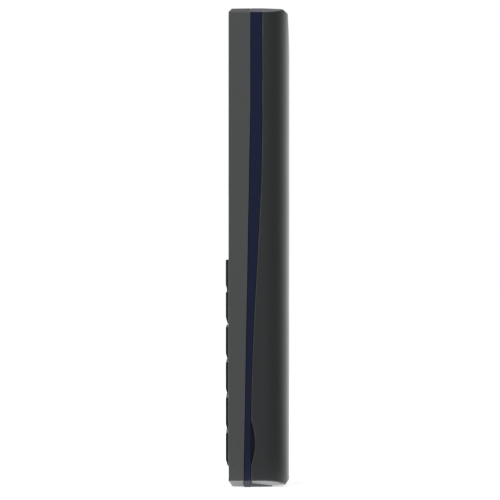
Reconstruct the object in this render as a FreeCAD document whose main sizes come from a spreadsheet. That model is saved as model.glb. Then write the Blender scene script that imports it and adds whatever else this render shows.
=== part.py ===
import FreeCAD, Part
import math
import os
import Sketcher

# Candybar phone, standing upright on its lower end.
# +Z runs from the lower end to the upper end, the keys and the display face -Y and the back is +Y.
# The origin is in the middle of the lower end. All sizes are millimetres.

SIZES = {
    # Whole phone
    "phone_width": 49.5,
    "phone_length": 112.0,
    "front_face": -7.15,
    "back_face": 7.1,
    "front_edge_round": 0.4,
    "back_side_round": 6.4,
    # The bevel that runs round each end: steep in front, long and shallow towards the sides
    "top_bevel_rise": 1.08,
    "top_bevel_inset": 0.75,
    "base_bevel_rise": 1.55,
    "base_bevel_inset": 0.87,
    "side_bevel_inset": 5.0,
    # The middle frame's foot is bevelled less, so it stands out between the covers
    "foot_bevel_inset": 1.6,
    "top_crown": 0.09,
    "base_crown": 0.12,
    # Parting lines on the sides, as places along Y
    "front_seam_top": -2.0,
    "front_seam_base": -3.54,
    "front_seam_bend": 89.0,
    "front_seam_foot": 4.0,
    "rear_seam_top": 0.7,
    "rear_seam_base": -1.92,
    "rear_seam_high": 87.0,
    "rear_seam_low": 13.0,
    "seam_slope_degrees": 3.09,
    "seam_gap": 0.12,
    # Small allowances: the gap between pieces that rest on each other, and how far shapes of
    # one piece reach into each other
    "rest_gap": 0.02,
    "overlap": 0.1,
    # Front cover
    "front_wall": 1.4,
    "side_wall": 1.6,
    "end_wall": 2.0,
    "inner_round": 1.0,
    "boss_radius": 1.6,
    "boss_side": 20.3,
    "boss_low": 56.3,
    "boss_high": 106.8,
    "boss_gap": 0.05,
    "boss_hole_floor": 0.4,
    "boss_clear": 0.3,
    "thread_gap": 0.02,
    # Display window and what lies behind it
    "window_width": 43.0,
    "window_low": 57.5,
    "window_high": 104.5,
    "window_round": 3.0,
    "window_depth": 0.9,
    "window_gap": 0.08,
    "window_glue": 0.05,
    "window_edge_round": 0.15,
    "view_width": 30.0,
    "view_low": 62.0,
    "view_high": 99.0,
    "view_round": 1.0,
    "panel_width": 33.0,
    "panel_low": 59.6,
    "panel_high": 101.2,
    "panel_front": -5.3,
    "panel_back": -4.1,
    "panel_slack": 0.05,
    "tray_wall": 0.45,
    "tray_floor": 0.25,
    "tray_setback": 0.2,
    "tray_round": 0.6,
    "gasket_thick": 0.38,
    "gasket_outside": 1.3,
    "gasket_inside": 0.2,
    "flex_width": 10.0,
    "flex_gap": 0.4,
    "flex_front": -4.35,
    "flex_thick": 0.13,
    "flex_low": 55.6,
    "flex_bend_low": 57.6,
    "flex_bend_high": 58.2,
    "flex_bend_shift": 0.05,
    "flex_high": 59.5,
    # Earpiece
    "earpiece_height": 107.9,
    "earpiece_slot_width": 9.0,
    "earpiece_slot_tall": 1.3,
    "earpiece_slot_round": 0.58,
    "earpiece_width": 12.0,
    "earpiece_tall": 4.6,
    "earpiece_drop": 1.4,
    "earpiece_round": 1.2,
    "mesh_thick": 0.2,
    "mesh_margin": 0.75,
    "mesh_round": 0.6,
    # Keypad
    "key_front": -7.81,
    "key_back": -5.62,
    "key_gap": 0.5,
    "key_width": 14.37,
    "key_tall": 7.75,
    "key_pitch": 8.28,
    "key_low_row": 8.71,
    "key_edge_round": 0.2,
    "key_corner_round": 0.7,
    "key_slope_tall": 1.6,
    "key_slope_deep": 0.45,
    "nib_radius": 0.55,
    "nib_proud": 0.1,
    "side_key_width": 13.3,
    "side_key_tall": 7.4,
    "soft_key_height": 49.4,
    "call_key_height": 41.8,
    "ring_front": -7.64,
    "ring_width": 16.5,
    "ring_tall": 15.0,
    "ring_round": 2.6,
    "ring_edge_round": 0.35,
    "ring_hole_width": 7.2,
    "ring_hole_tall": 6.2,
    "ring_hole_round": 1.4,
    "select_gap": 0.25,
    "select_front": -7.55,
    "select_round": 1.2,
    "select_edge_round": 0.3,
    "keypad_width": 44.6,
    "keypad_low": 4.55,
    "keypad_high": 53.4,
    "keypad_round": 1.0,
    # Key mat and snap domes
    "mat_front": -5.6,
    "mat_thick": 0.4,
    "mat_width": 45.4,
    "mat_low": 2.6,
    "mat_high": 54.4,
    "sheet_round": 1.0,
    "plunger_radius": 1.1,
    "plunger_tip": -4.22,
    "dome_radius": 2.1,
    "dome_rise": 0.26,
    "dome_film": 0.12,
    "film_inset": 0.6,
    "ring_dome_reach": 6.2,
    "ring_dome_squash": 0.92,
    # Recess behind the ring and the pad in it
    "pivot_recess_width": 11.4,
    "pivot_recess_tall": 10.4,
    "pivot_recess_round": 2.0,
    "pivot_recess_deep": 0.42,
    "pivot_pad_gap": 0.2,
    "pivot_pad_thick": 0.4,
    # Circuit board
    "board_front": -3.8,
    "board_thick": 0.9,
    "board_width": 43.2,
    "board_low": 4.0,
    "board_high": 108.6,
    "board_round": 0.8,
    "shield_tall": 1.4,
    "shield_wall": 0.2,
    "shield_round": 0.5,
    "chip_tall": 0.9,
    # Middle frame
    "floor_front": -1.3,
    "floor_thick": 0.8,
    "floor_reach": 0.4,
    "band_wall": 1.9,
    "lip_wall": 0.9,
    "lip_gap": 0.1,
    "lip_front_reach": 1.3,
    "rim_back": 2.1,
    "rim_round": 0.6,
    "end_panel_wall": 2.2,
    "base_panel_back": 3.1,
    "top_panel_back": 4.2,
    "panel_side_inset": 2.4,
    "panel_back_inset": 4.2,
    "panel_gap": 0.06,
    "foot_panel_bevel": 0.75,
    # Battery and its bay
    "battery_width": 34.0,
    "battery_low": 8.0,
    "battery_high": 61.0,
    "battery_front": -0.4,
    "battery_back": 5.2,
    "battery_edge_round": 0.8,
    "bay_wall": 0.9,
    "bay_gap": 0.4,
    "bay_round": 0.4,
    "bay_wall_back": 4.4,
    "card_window_width": 33.6,
    "card_window_high": 92.0,
    # Rear cover
    "rear_wall": 1.25,
    "rear_end_wall": 1.9,
    "lean_height": 97.0,
    "lean_radius": 190.0,
    "lean_drop": 0.62,
    # Rear corners of the two ends: where each cut starts, its knee and where it leaves the back
    "top_corner_start": 0.8,
    "top_knee": 5.36,
    "top_knee_drop": 0.21,
    "top_corner_back": 7.2,
    "top_corner_drop": 1.72,
    "base_corner_start": 0.5,
    "base_knee": 6.06,
    "base_knee_rise": 0.47,
    "base_corner_back": 7.3,
    "base_corner_rise": 2.06,
    "notch_height": 10.4,
    "notch_long": 10.5,
    "notch_deep": 0.94,
    "notch_inside": 18.0,
    "sound_slot_long": 7.0,
    "sound_slot_wide": 0.9,
    "sound_slot_pitch": 1.9,
    "sound_slot_round": 0.44,
    # Connectors at the ends
    "jack_side": 15.0,
    "jack_place": 1.0,
    "jack_bore": 1.8,
    "jack_sleeve": 2.6,
    "jack_low": 98.5,
    "jack_block": 6.2,
    "jack_room": 0.4,
    "jack_floor": 0.6,
    "sleeve_setback": 0.1,
    "usb_width": 7.9,
    "usb_tall": 2.6,
    "usb_place": -1.6,
    "usb_long": 5.4,
    "usb_mouth": 0.3,
    "usb_wall": 0.25,
    "usb_round": 0.6,
    "tongue_setback": 0.8,
    "tongue_width": 5.5,
    "tongue_tall": 0.7,
    "tongue_round": 0.2,
    "port_gap": 0.12,
    "microphone_side": -14.0,
    "microphone_height": 6.2,
    "microphone_radius": 2.0,
    "microphone_tall": 1.2,
    "microphone_hole_place": -2.25,
    "microphone_hole_radius": 0.5,
    # Cards, sound, motor and torch
    "card_width": 12.3,
    "card_long": 15.0,
    "card_thick": 0.76,
    "card_side": 9.0,
    "card_low": 65.6,
    "card_corner": 2.2,
    "card_gap": 0.2,
    "card_stop": 0.3,
    "card_slot_tall": 0.9,
    "card_float": 0.07,
    "holder_width": 14.2,
    "holder_low": 64.6,
    "holder_high": 78.6,
    "holder_tall": 1.4,
    "holder_wall": 0.25,
    "holder_round": 0.4,
    "speaker_side": -13.0,
    "speaker_height": 98.9,
    "speaker_width": 16.0,
    "speaker_tall": 12.0,
    "speaker_thick": 4.2,
    "speaker_round": 2.0,
    "sound_ring_width": 13.6,
    "sound_ring_tall": 11.0,
    "sound_ring_round": 1.8,
    "sound_ring_wall": 1.4,
    "sound_ring_back": 5.4,
    "sound_mesh_shift": 1.5,
    "sound_mesh_width": 11.5,
    "sound_mesh_tall": 9.0,
    "motor_radius": 2.0,
    "motor_long": 8.0,
    "motor_side": 3.0,
    "motor_height": 95.2,
    "motor_place": 2.1,
    "weight_radius": 2.2,
    "weight_long": 3.2,
    "weight_gap": 0.3,
    "weight_neck": 0.8,
    "weight_neck_drop": 0.9,
    "shaft_radius": 0.35,
    "shaft_gap": 0.04,
    "shaft_inside": 2.4,
    "shaft_end_gap": 0.2,
    "torch_side": 0.0,
    "torch_place": 1.0,
    "torch_radius": 1.7,
    "torch_gap": 0.05,
    "torch_lens_long": 1.17,
    "torch_lens_setback": 0.03,
    "torch_lens_round": 0.25,
    "torch_lamp_drop": 3.1,
    "torch_lamp_long": 1.8,
    "torch_lamp_radius": 1.2,
    # Antenna carrier
    "antenna_left": -20.0,
    "antenna_right": -7.0,
    "antenna_low": 3.15,
    "antenna_high": 6.4,
    "antenna_back": 2.6,
    "antenna_round": 0.6,
    # Battery connector and its springs
    "connector_width": 10.8,
    "connector_tall": 2.4,
    "connector_drop": 0.6,
    "connector_back": 2.6,
    "connector_gap": 0.2,
    "spring_pitch": 3.0,
    "spring_slot_front": 0.2,
    "spring_slot_width": 1.1,
    "spring_slot_deep": 1.2,
    "spring_drop": 0.03,
    "spring_front": 0.25,
    "spring_back": 2.2,
    "spring_width": 0.8,
    "spring_long": 1.7,
    # Screws
    "screw_head_radius": 1.4,
    "screw_head_tall": 0.7,
    "screw_shank_radius": 0.8,
    "screw_long": 4.4,
    "screw_socket": 0.35,
    "screw_slot_long": 1.6,
    "screw_slot_wide": 0.4,
    "screw_gap": 0.1,
}

# Cans and chips on the circuit board: across, height, width, height of the piece
SHIELDS = {"processor_shield": (0, 42, 22, 18), "radio_shield": (2, 21, 24, 14)}
CHIPS = {"processor_chip": (-3.5, 42, 10, 10), "memory_chip": (6, 42, 6, 8),
         "radio_chip": (2, 21, 7, 7)}
SOUND_SLOTS = 5


class Size:
    """A length: its value in millimetres and the formula in sheet cells that gives it."""

    def __init__(self, value, formula):
        self.value = value
        self.formula = formula

    def __add__(self, other):
        other = size(other)
        return Size(self.value + other.value, f"({self.formula} + {other.formula})")

    def __sub__(self, other):
        other = size(other)
        return Size(self.value - other.value, f"({self.formula} - {other.formula})")

    def __mul__(self, factor):
        factor = size(factor)
        return Size(self.value * factor.value, f"({self.formula} * {factor.formula})")

    def __truediv__(self, factor):
        factor = size(factor)
        return Size(self.value / factor.value, f"({self.formula} / {factor.formula})")

    def __rsub__(self, other):
        return size(other) - self

    def __neg__(self):
        return size(0) - self

    __radd__ = __add__
    __rmul__ = __mul__


def size(number):
    """The number as a Size, so that plain numbers and sheet sizes mix in one formula."""
    if isinstance(number, Size):
        return number
    return Size(float(number), f"{float(number):.6f}")


class Dims:
    """The driving sizes, each as an attribute that remembers its sheet cell."""

    def __init__(self, sheet):
        for row, (name, number) in enumerate(SIZES.items(), start=1):
            sheet.set(f"A{row}", name)
            sheet.set(f"B{row}", str(number))
            sheet.setAlias(f"B{row}", name)
            setattr(self, name, Size(number, f"dims.{name}"))


doc = FreeCAD.newDocument("candybar_phone")
dims = Dims(doc.addObject("Spreadsheet::Sheet", "dims"))
doc.recompute()

# How far a cut reaches when it runs right out of the phone, how far it starts outside a face,
# and the slack when faces and edges are looked up
FAR = 30.0
MARGIN = 2.0
TINY = 0.01
half_width = dims.phone_width / 2
node_bodies = []


# Sketches

AXIS_PLANES = {"X": "YZ_Plane", "Y": "XZ_Plane", "Z": "XY_Plane"}


def new_body(name):
    """An empty body whose label names the node."""
    body = doc.addObject("PartDesign::Body", name)
    body.Label = name
    node_bodies.append(body)
    return body


def place(body, x=0, y=0, z=0):
    """Move a body to a place bound to the sheet."""
    for letter, distance in zip("xyz", (x, y, z)):
        body.setExpression(f".Placement.Base.{letter}", size(distance).formula)


def outline(*corners):
    """A closed outline. A corner is (across, up), or (across, up, radius, side) where the edge
    that leaves it is an arc whose centre lies on that side, "left" or "right"."""
    return [(size(corner[0]), size(corner[1])) + tuple(corner[2:]) for corner in corners]


def box(low_x, high_x, low_y, high_y, radius=None):
    """A rectangle, with rounded corners when a radius is given."""
    low_x, high_x, low_y, high_y = (size(side) for side in (low_x, high_x, low_y, high_y))
    if radius is None:
        return outline((low_x, low_y), (high_x, low_y), (high_x, high_y), (low_x, high_y))
    radius = size(radius)
    return outline(
        (low_x + radius, low_y),
        (high_x - radius, low_y, radius, "left"),
        (high_x, low_y + radius),
        (high_x, high_y - radius, radius, "left"),
        (high_x - radius, high_y),
        (low_x + radius, high_y, radius, "left"),
        (low_x, high_y - radius),
        (low_x, low_y + radius, radius, "left"),
    )


def middle_box(middle_x, middle_y, wide, tall, radius=None):
    """A rectangle given by its middle."""
    middle_x, middle_y = size(middle_x), size(middle_y)
    wide, tall = size(wide) / 2, size(tall) / 2
    return box(middle_x - wide, middle_x + wide, middle_y - tall, middle_y + tall, radius)


def disc(x, y, radius):
    """A circle."""
    return (size(x), size(y), size(radius))


def vector(x, y):
    return FreeCAD.Vector(x.value, y.value, 0)


def arc_between(start, end, radius, side):
    """The arc edge from start to end, and whether the sketch holds it the other way round."""
    chord = end - start
    middle = (start + end) * 0.5
    towards_left = FreeCAD.Vector(-chord.y, chord.x, 0).normalize()
    drop = math.sqrt(max(radius.value ** 2 - (chord.Length / 2) ** 2, 0))
    centre = middle + towards_left * (drop if side == "left" else -drop)
    first, last = (start, end) if side == "left" else (end, start)
    angles = [math.atan2(point.y - centre.y, point.x - centre.x) for point in (first, last)]
    circle = Part.Circle(centre, FreeCAD.Vector(0, 0, 1), radius.value)
    return Part.ArcOfCircle(circle, *angles), side == "right"


class Drawing:
    """A sketch whose corners, centres and radii are all bound to sheet formulas."""

    def __init__(self, body, name, axis, at):
        self.sketch = body.newObject("Sketcher::SketchObject", name)
        role = AXIS_PLANES[axis]
        plane = next(item for item in body.Origin.OriginFeatures if item.Role == role)
        self.sketch.AttachmentSupport = [(plane, "")]
        self.sketch.MapMode = "FlatFace"
        offset = -size(at) if axis == "Y" else size(at)
        self.sketch.setExpression(".AttachmentOffset.Base.z", offset.formula)
        self.held = []
        self.formulas = {}

    def hold(self, kind, where, value):
        self.formulas[len(self.held)] = value.formula
        self.held.append(Sketcher.Constraint(kind, *where, value.value))

    def add_disc(self, x, y, radius):
        circle = Part.Circle(vector(x, y), FreeCAD.Vector(0, 0, 1), radius.value)
        number = self.sketch.addGeometry(circle, False)
        self.hold("DistanceX", (-1, 1, number, 3), x)
        self.hold("DistanceY", (-1, 1, number, 3), y)
        self.hold("Radius", (number,), radius)

    def add_outline(self, corners):
        ends = []
        for corner, following in zip(corners, corners[1:] + corners[:1]):
            start, end = vector(*corner[:2]), vector(*following[:2])
            backwards = False
            if len(corner) == 4:
                edge, backwards = arc_between(start, end, corner[2], corner[3])
                number = self.sketch.addGeometry(edge, False)
                self.hold("Radius", (number,), corner[2])
            else:
                number = self.sketch.addGeometry(Part.LineSegment(start, end), False)
            ends.append((number, 2, 1) if backwards else (number, 1, 2))
            self.hold("DistanceX", (-1, 1) + ends[-1][:2], corner[0])
            self.hold("DistanceY", (-1, 1) + ends[-1][:2], corner[1])
        for edge, following in zip(ends, ends[1:] + ends[:1]):
            self.held.append(Sketcher.Constraint("Coincident", edge[0], edge[2], *following[:2]))

    def finish(self, shapes):
        for shape in shapes:
            if isinstance(shape, tuple):
                self.add_disc(*shape)
            else:
                self.add_outline(shape)
        self.sketch.addConstraint(self.held)
        for number, formula in self.formulas.items():
            self.sketch.setExpression(f"Constraints[{number}]", formula)
        return self.sketch


# Features

def grow(body, name, axis, low, high, *shapes):
    """Pad the shapes from low to high along an axis."""
    start = high if axis == "Y" else low
    pad = body.newObject("PartDesign::Pad", name)
    drawing = Drawing(body, name + "_sketch", axis, start)
    pad.Profile = drawing.finish(shapes)
    pad.setExpression("Length", (size(high) - low).formula)
    body.Tip = pad
    return pad


def cut(body, name, axis, low, high, *shapes):
    """Pocket the shapes from low to high along an axis, and check that material went."""
    doc.recompute()
    before = body.Shape.Volume
    start = low if axis == "Y" else high
    pocket = body.newObject("PartDesign::Pocket", name)
    drawing = Drawing(body, name + "_sketch", axis, start)
    pocket.Profile = drawing.finish(shapes)
    pocket.setExpression("Length", (size(high) - low).formula)
    body.Tip = pocket
    doc.recompute()
    if body.Shape.Volume > before - TINY ** 2:
        raise RuntimeError(f"{body.Label}: {name} took nothing away")
    return pocket


def edges_where(body, wanted):
    """Names of the body's edges whose midpoint box passes the test."""
    doc.recompute()
    return [f"Edge{number}" for number, edge in enumerate(body.Shape.Edges, start=1)
            if wanted(edge.BoundBox)]


def treat_edges(body, name, kind, measure, amount, wanted):
    """Change the edges that pass the test; measure is the size that the feature takes."""
    names = edges_where(body, wanted)
    if not names:
        raise RuntimeError(f"{body.Label}: {name} found no edge")
    base = body.Tip
    feature = body.newObject(kind, name)
    feature.Base = (base, names)
    feature.setExpression(measure, size(amount).formula)
    body.Tip = feature
    return feature


def ease(body, name, radius, wanted):
    """Round the edges that pass the test."""
    return treat_edges(body, name, "PartDesign::Fillet", "Radius", radius, wanted)


def bevel(body, name, depth, wanted):
    """Take the edges that pass the test off at 45 degrees."""
    return treat_edges(body, name, "PartDesign::Chamfer", "Size", depth, wanted)


def lies_at(bounds, axis, target):
    """Whether an edge lies flat at one place along an axis."""
    ends = getattr(bounds, f"{axis}Min"), getattr(bounds, f"{axis}Max")
    return all(abs(end - size(target).value) < TINY for end in ends)


def runs_along(bounds, axis):
    """Whether an edge runs straight along an axis."""
    return all(getattr(bounds, f"{other}Length") < TINY for other in "XYZ" if other != axis)


# Casing shapes that several pieces share

TOP = dims.phone_length
PAST_TOP = TOP + MARGIN
PAST_BASE = size(-MARGIN)
inner_front = dims.front_face + dims.front_wall
board_back = dims.board_front + dims.board_thick
floor_back = dims.floor_front + dims.floor_thick
speaker_back = floor_back + dims.speaker_thick
half_gap = dims.seam_gap / 2
rim_outer = half_width - dims.side_wall - dims.lip_gap
rim_inner = rim_outer - dims.lip_wall
rim_base = dims.end_wall + dims.lip_gap
rim_top = TOP - rim_base
inside_base = rim_base + dims.lip_wall
inside_top = rim_top - dims.lip_wall
connector_low = dims.battery_high + dims.connector_drop
SPRING_PLACES = [step * dims.spring_pitch for step in (-1, 0, 1)]
BOSS_PLACES = [(side * dims.boss_side, height)
               for side in (-1, 1) for height in (dims.boss_low, dims.boss_high)]


def phone_blank(body, base_inset=dims.side_bevel_inset):
    """The closed outside of the whole phone, with its bevelled ends. The bevels at the sides of
    the lower end go in that far."""
    flank_back = dims.back_face - dims.back_side_round
    flat_side = half_width - dims.back_side_round
    section = outline(
        (half_width, dims.front_face),
        (half_width, flank_back, dims.back_side_round, "left"),
        (flat_side, dims.back_face),
        (-flat_side, dims.back_face, dims.back_side_round, "left"),
        (-half_width, flank_back),
        (-half_width, dims.front_face),
    )
    grow(body, "whole", "Z", 0, TOP, section)
    low_side, high_side = half_width - base_inset, half_width - dims.side_bevel_inset
    base_rise, top_crease = dims.base_bevel_rise, TOP - dims.top_bevel_rise
    cut(body, "side_bevels", "Y", -FAR, FAR,
        outline((low_side, 0), (half_width, base_rise), (FAR, base_rise), (FAR, 0)),
        outline((-low_side, 0), (-FAR, 0), (-FAR, base_rise), (-half_width, base_rise)),
        outline((high_side, TOP), (FAR, TOP), (FAR, top_crease), (half_width, top_crease)),
        outline((-high_side, TOP), (-half_width, top_crease), (-FAR, top_crease), (-FAR, TOP)))


def front_seam(shift):
    """The parting line behind the front cover, from above the phone to below it."""
    high, low = dims.front_seam_top + shift, dims.front_seam_base + shift
    return [(high, PAST_TOP), (high, dims.front_seam_bend),
            (low, dims.front_seam_foot), (low, PAST_BASE)]


def rear_seam(shift):
    """The parting line in front of the rear cover: two long arcs joined by a straight run."""
    slope = math.radians(SIZES["seam_slope_degrees"])
    run_side = dims.rear_seam_top - dims.rear_seam_base
    run_long = dims.rear_seam_high - dims.rear_seam_low
    bend = 2 * (math.sin(slope) * math.tan(slope) - (1 - math.cos(slope)))
    radius = (run_long * math.tan(slope) - run_side) / bend
    arc_side, arc_long = radius * (1 - math.cos(slope)), radius * math.sin(slope)
    high, low = dims.rear_seam_top + shift, dims.rear_seam_base + shift
    return [
        (high, PAST_TOP),
        (high, dims.rear_seam_high, radius, "right"),
        (high - arc_side, dims.rear_seam_high - arc_long),
        (low + arc_side, dims.rear_seam_low + arc_long, radius, "left"),
        (low, dims.rear_seam_low),
        (low, PAST_BASE),
    ]


def top_corner():
    """The part of the upper end that slopes down to the back, seen along X."""
    outside = dims.back_face + MARGIN
    return outline(
        (dims.top_corner_start, TOP),
        (dims.top_knee, TOP - dims.top_knee_drop),
        (dims.top_corner_back, TOP - dims.top_corner_drop),
        (outside, PAST_TOP),
        (dims.top_corner_start, PAST_TOP))


def end_panel(seam, panel_back, gap):
    """The tapered part of an end face that belongs to the middle frame, seen along Z."""
    wide = half_width - dims.panel_side_inset + gap
    narrow = half_width - dims.panel_back_inset + gap
    return (wide, seam), (narrow, panel_back + gap)


# Casing pieces

def make_front_cover():
    """Moulded front shell with the window recess, the keypad opening and the earpiece slot."""
    body = new_body("front_cover")
    phone_blank(body)
    cut(body, "parting_cut", "X", -FAR, FAR,
        outline(*front_seam(-half_gap), (FAR, PAST_BASE), (FAR, PAST_TOP)))
    base_front = dims.front_face + dims.base_bevel_inset
    top_front = dims.front_face + dims.top_bevel_inset
    top_crease = TOP - dims.top_bevel_rise
    cut(body, "front_bevels", "X", -FAR, FAR,
        outline((dims.front_seam_base, 0), (base_front, dims.base_crown),
                (dims.front_face, dims.base_bevel_rise), (-FAR, dims.base_bevel_rise),
                (-FAR, PAST_BASE), (dims.front_seam_base, PAST_BASE)),
        outline((dims.front_seam_top, TOP), (dims.front_seam_top, PAST_TOP), (-FAR, PAST_TOP),
                (-FAR, top_crease), (dims.front_face, top_crease),
                (top_front, TOP - dims.top_crown)))
    for side, turn in ((1, "left"), (-1, "right")):
        edge = side * half_width
        eased = side * (half_width - dims.front_edge_round)
        outside = side * (half_width + MARGIN)
        cut(body, f"edge_round_{turn}", "Z", PAST_BASE, PAST_TOP, outline(
            (eased, dims.front_face, dims.front_edge_round, turn),
            (edge, dims.front_face + dims.front_edge_round),
            (outside, dims.front_face + dims.front_edge_round),
            (outside, dims.front_face - MARGIN),
            (eased, dims.front_face - MARGIN)))
    cut(body, "hollow", "Y", inner_front, FAR, box(
        -half_width + dims.side_wall, half_width - dims.side_wall,
        dims.end_wall, TOP - dims.end_wall, dims.inner_round))
    window_half = dims.window_width / 2
    recess_back = dims.front_face + dims.window_depth + dims.window_glue
    cut(body, "window_recess", "Y", -FAR, recess_back, box(
        -window_half, window_half, dims.window_low, dims.window_high, dims.window_round))
    view_half = dims.view_width / 2
    cut(body, "view_opening", "Y", -FAR, 0, box(
        -view_half, view_half, dims.view_low, dims.view_high, dims.view_round))
    keypad_half = dims.keypad_width / 2
    cut(body, "keypad_opening", "Y", -FAR, 0, box(
        -keypad_half, keypad_half, dims.keypad_low, dims.keypad_high, dims.keypad_round))
    cut(body, "earpiece_slot", "Y", -FAR, 0, middle_box(
        0, dims.earpiece_height, dims.earpiece_slot_width, dims.earpiece_slot_tall,
        dims.earpiece_slot_round))
    grow(body, "screw_bosses", "Y", inner_front - dims.overlap, dims.floor_front - dims.boss_gap,
         *[disc(x, z, dims.boss_radius) for x, z in BOSS_PLACES])
    cut(body, "boss_holes", "Y", inner_front + dims.boss_hole_floor, 0,
        *[disc(x, z, dims.screw_shank_radius + dims.thread_gap) for x, z in BOSS_PLACES])
    return body


def make_middle_frame():
    """Moulded frame: the coloured side band, the end panels, the battery bay and its floor."""
    body = new_body("mid_frame")
    phone_blank(body, dims.foot_bevel_inset)
    cut(body, "front_parting_cut", "X", -FAR, FAR,
        outline(*front_seam(half_gap), (-FAR, PAST_BASE), (-FAR, PAST_TOP)))
    panel_low = dims.end_panel_wall
    panel_high = TOP - dims.end_panel_wall
    cut(body, "hollow", "Y", -FAR, FAR, box(
        -half_width + dims.band_wall, half_width - dims.band_wall,
        panel_low, panel_high, dims.inner_round))
    ends = (
        ("base", PAST_BASE, panel_low, dims.rear_seam_base, dims.base_panel_back),
        ("top", panel_high, PAST_TOP, dims.rear_seam_top, dims.top_panel_back),
    )
    for end, low, high, seam, back in ends:
        wide, narrow = end_panel(seam - half_gap, back, size(0))
        cut(body, f"{end}_panel_cut", "Z", low, high, outline(
            (FAR, wide[1]), (FAR, FAR), (-FAR, FAR), (-FAR, wide[1]),
            (-wide[0], wide[1]), (-narrow[0], narrow[1]), narrow, wide))
    cut(body, "top_corner_cut", "X", -FAR, FAR, top_corner())
    bevel(body, "foot_panel_bevels", dims.foot_panel_bevel, lambda edge: lies_at(edge, "Z", 0)
          and edge.YMin > SIZES["rear_seam_base"] - 1 and edge.XLength > TINY < edge.YLength)
    rear_outline = rear_seam(-half_gap)
    rear_outline[0] = (rear_outline[0][0], panel_high)
    rear_outline[-1] = (rear_outline[-1][0], panel_low)
    cut(body, "rear_parting_cut", "X", -FAR, FAR,
        outline(*rear_outline, (FAR, panel_low), (FAR, panel_high)))
    rim_front = dims.front_seam_base - dims.lip_front_reach
    grow(body, "rim", "Y", rim_front, dims.rim_back,
         box(-rim_outer, rim_outer, rim_base, rim_top, dims.inner_round),
         box(-rim_inner, rim_inner, inside_base, inside_top, dims.rim_round))
    reach = dims.floor_reach
    grow(body, "floor", "Y", dims.floor_front, floor_back, box(
        -rim_inner - reach, rim_inner + reach, inside_base - reach, inside_top + reach))
    bay_side = dims.battery_width / 2 + dims.bay_gap
    bay_low, bay_high = dims.battery_low - dims.bay_gap, dims.battery_high + dims.bay_gap
    wall = dims.bay_wall
    grow(body, "bay_walls", "Y", floor_back - dims.overlap, dims.bay_wall_back,
         box(-bay_side - wall, bay_side + wall, bay_low - wall, bay_high + wall,
             dims.inner_round),
         box(-bay_side, bay_side, bay_low, bay_high, dims.bay_round))
    contact_half = dims.connector_width / 2 + dims.connector_gap
    contact_high = connector_low + dims.connector_tall + dims.connector_gap
    cut(body, "contact_window", "Y", -FAR, FAR, box(
        -contact_half, contact_half, dims.battery_high - dims.connector_gap, contact_high))
    card_half = dims.card_window_width / 2
    cut(body, "card_window", "Y", -FAR, FAR, box(
        -card_half, card_half, contact_high, dims.card_window_high, dims.inner_round))
    jack_half = dims.jack_block / 2 + dims.port_gap
    cut(body, "jack_bay", "Y", -FAR, FAR, box(
        dims.jack_side - jack_half, dims.jack_side + jack_half,
        dims.jack_low - dims.jack_room, panel_high))
    cut(body, "jack_hole", "Z", inside_top - dims.overlap, PAST_TOP,
        disc(dims.jack_side, dims.jack_place, dims.jack_sleeve + dims.port_gap))
    usb_half = dims.usb_width / 2 + dims.port_gap
    usb_rise = dims.usb_tall / 2 + dims.port_gap
    usb_back = dims.usb_mouth + dims.usb_long + dims.port_gap
    cut(body, "usb_hole", "Z", PAST_BASE, usb_back, box(
        -usb_half, usb_half, dims.usb_place - usb_rise, dims.usb_place + usb_rise,
        dims.usb_round))
    cut(body, "microphone_hole", "Z", PAST_BASE, inside_base + dims.overlap, disc(
        dims.microphone_side, dims.microphone_hole_place, dims.microphone_hole_radius))
    cut(body, "torch_hole", "Z", inside_top - dims.overlap, PAST_TOP,
        disc(dims.torch_side, dims.torch_place, dims.torch_radius + dims.torch_gap))
    cut(body, "screw_holes", "Y", dims.floor_front - MARGIN, floor_back + MARGIN,
        *[disc(x, z, dims.screw_shank_radius + dims.screw_gap) for x, z in BOSS_PLACES])
    return body


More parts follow.
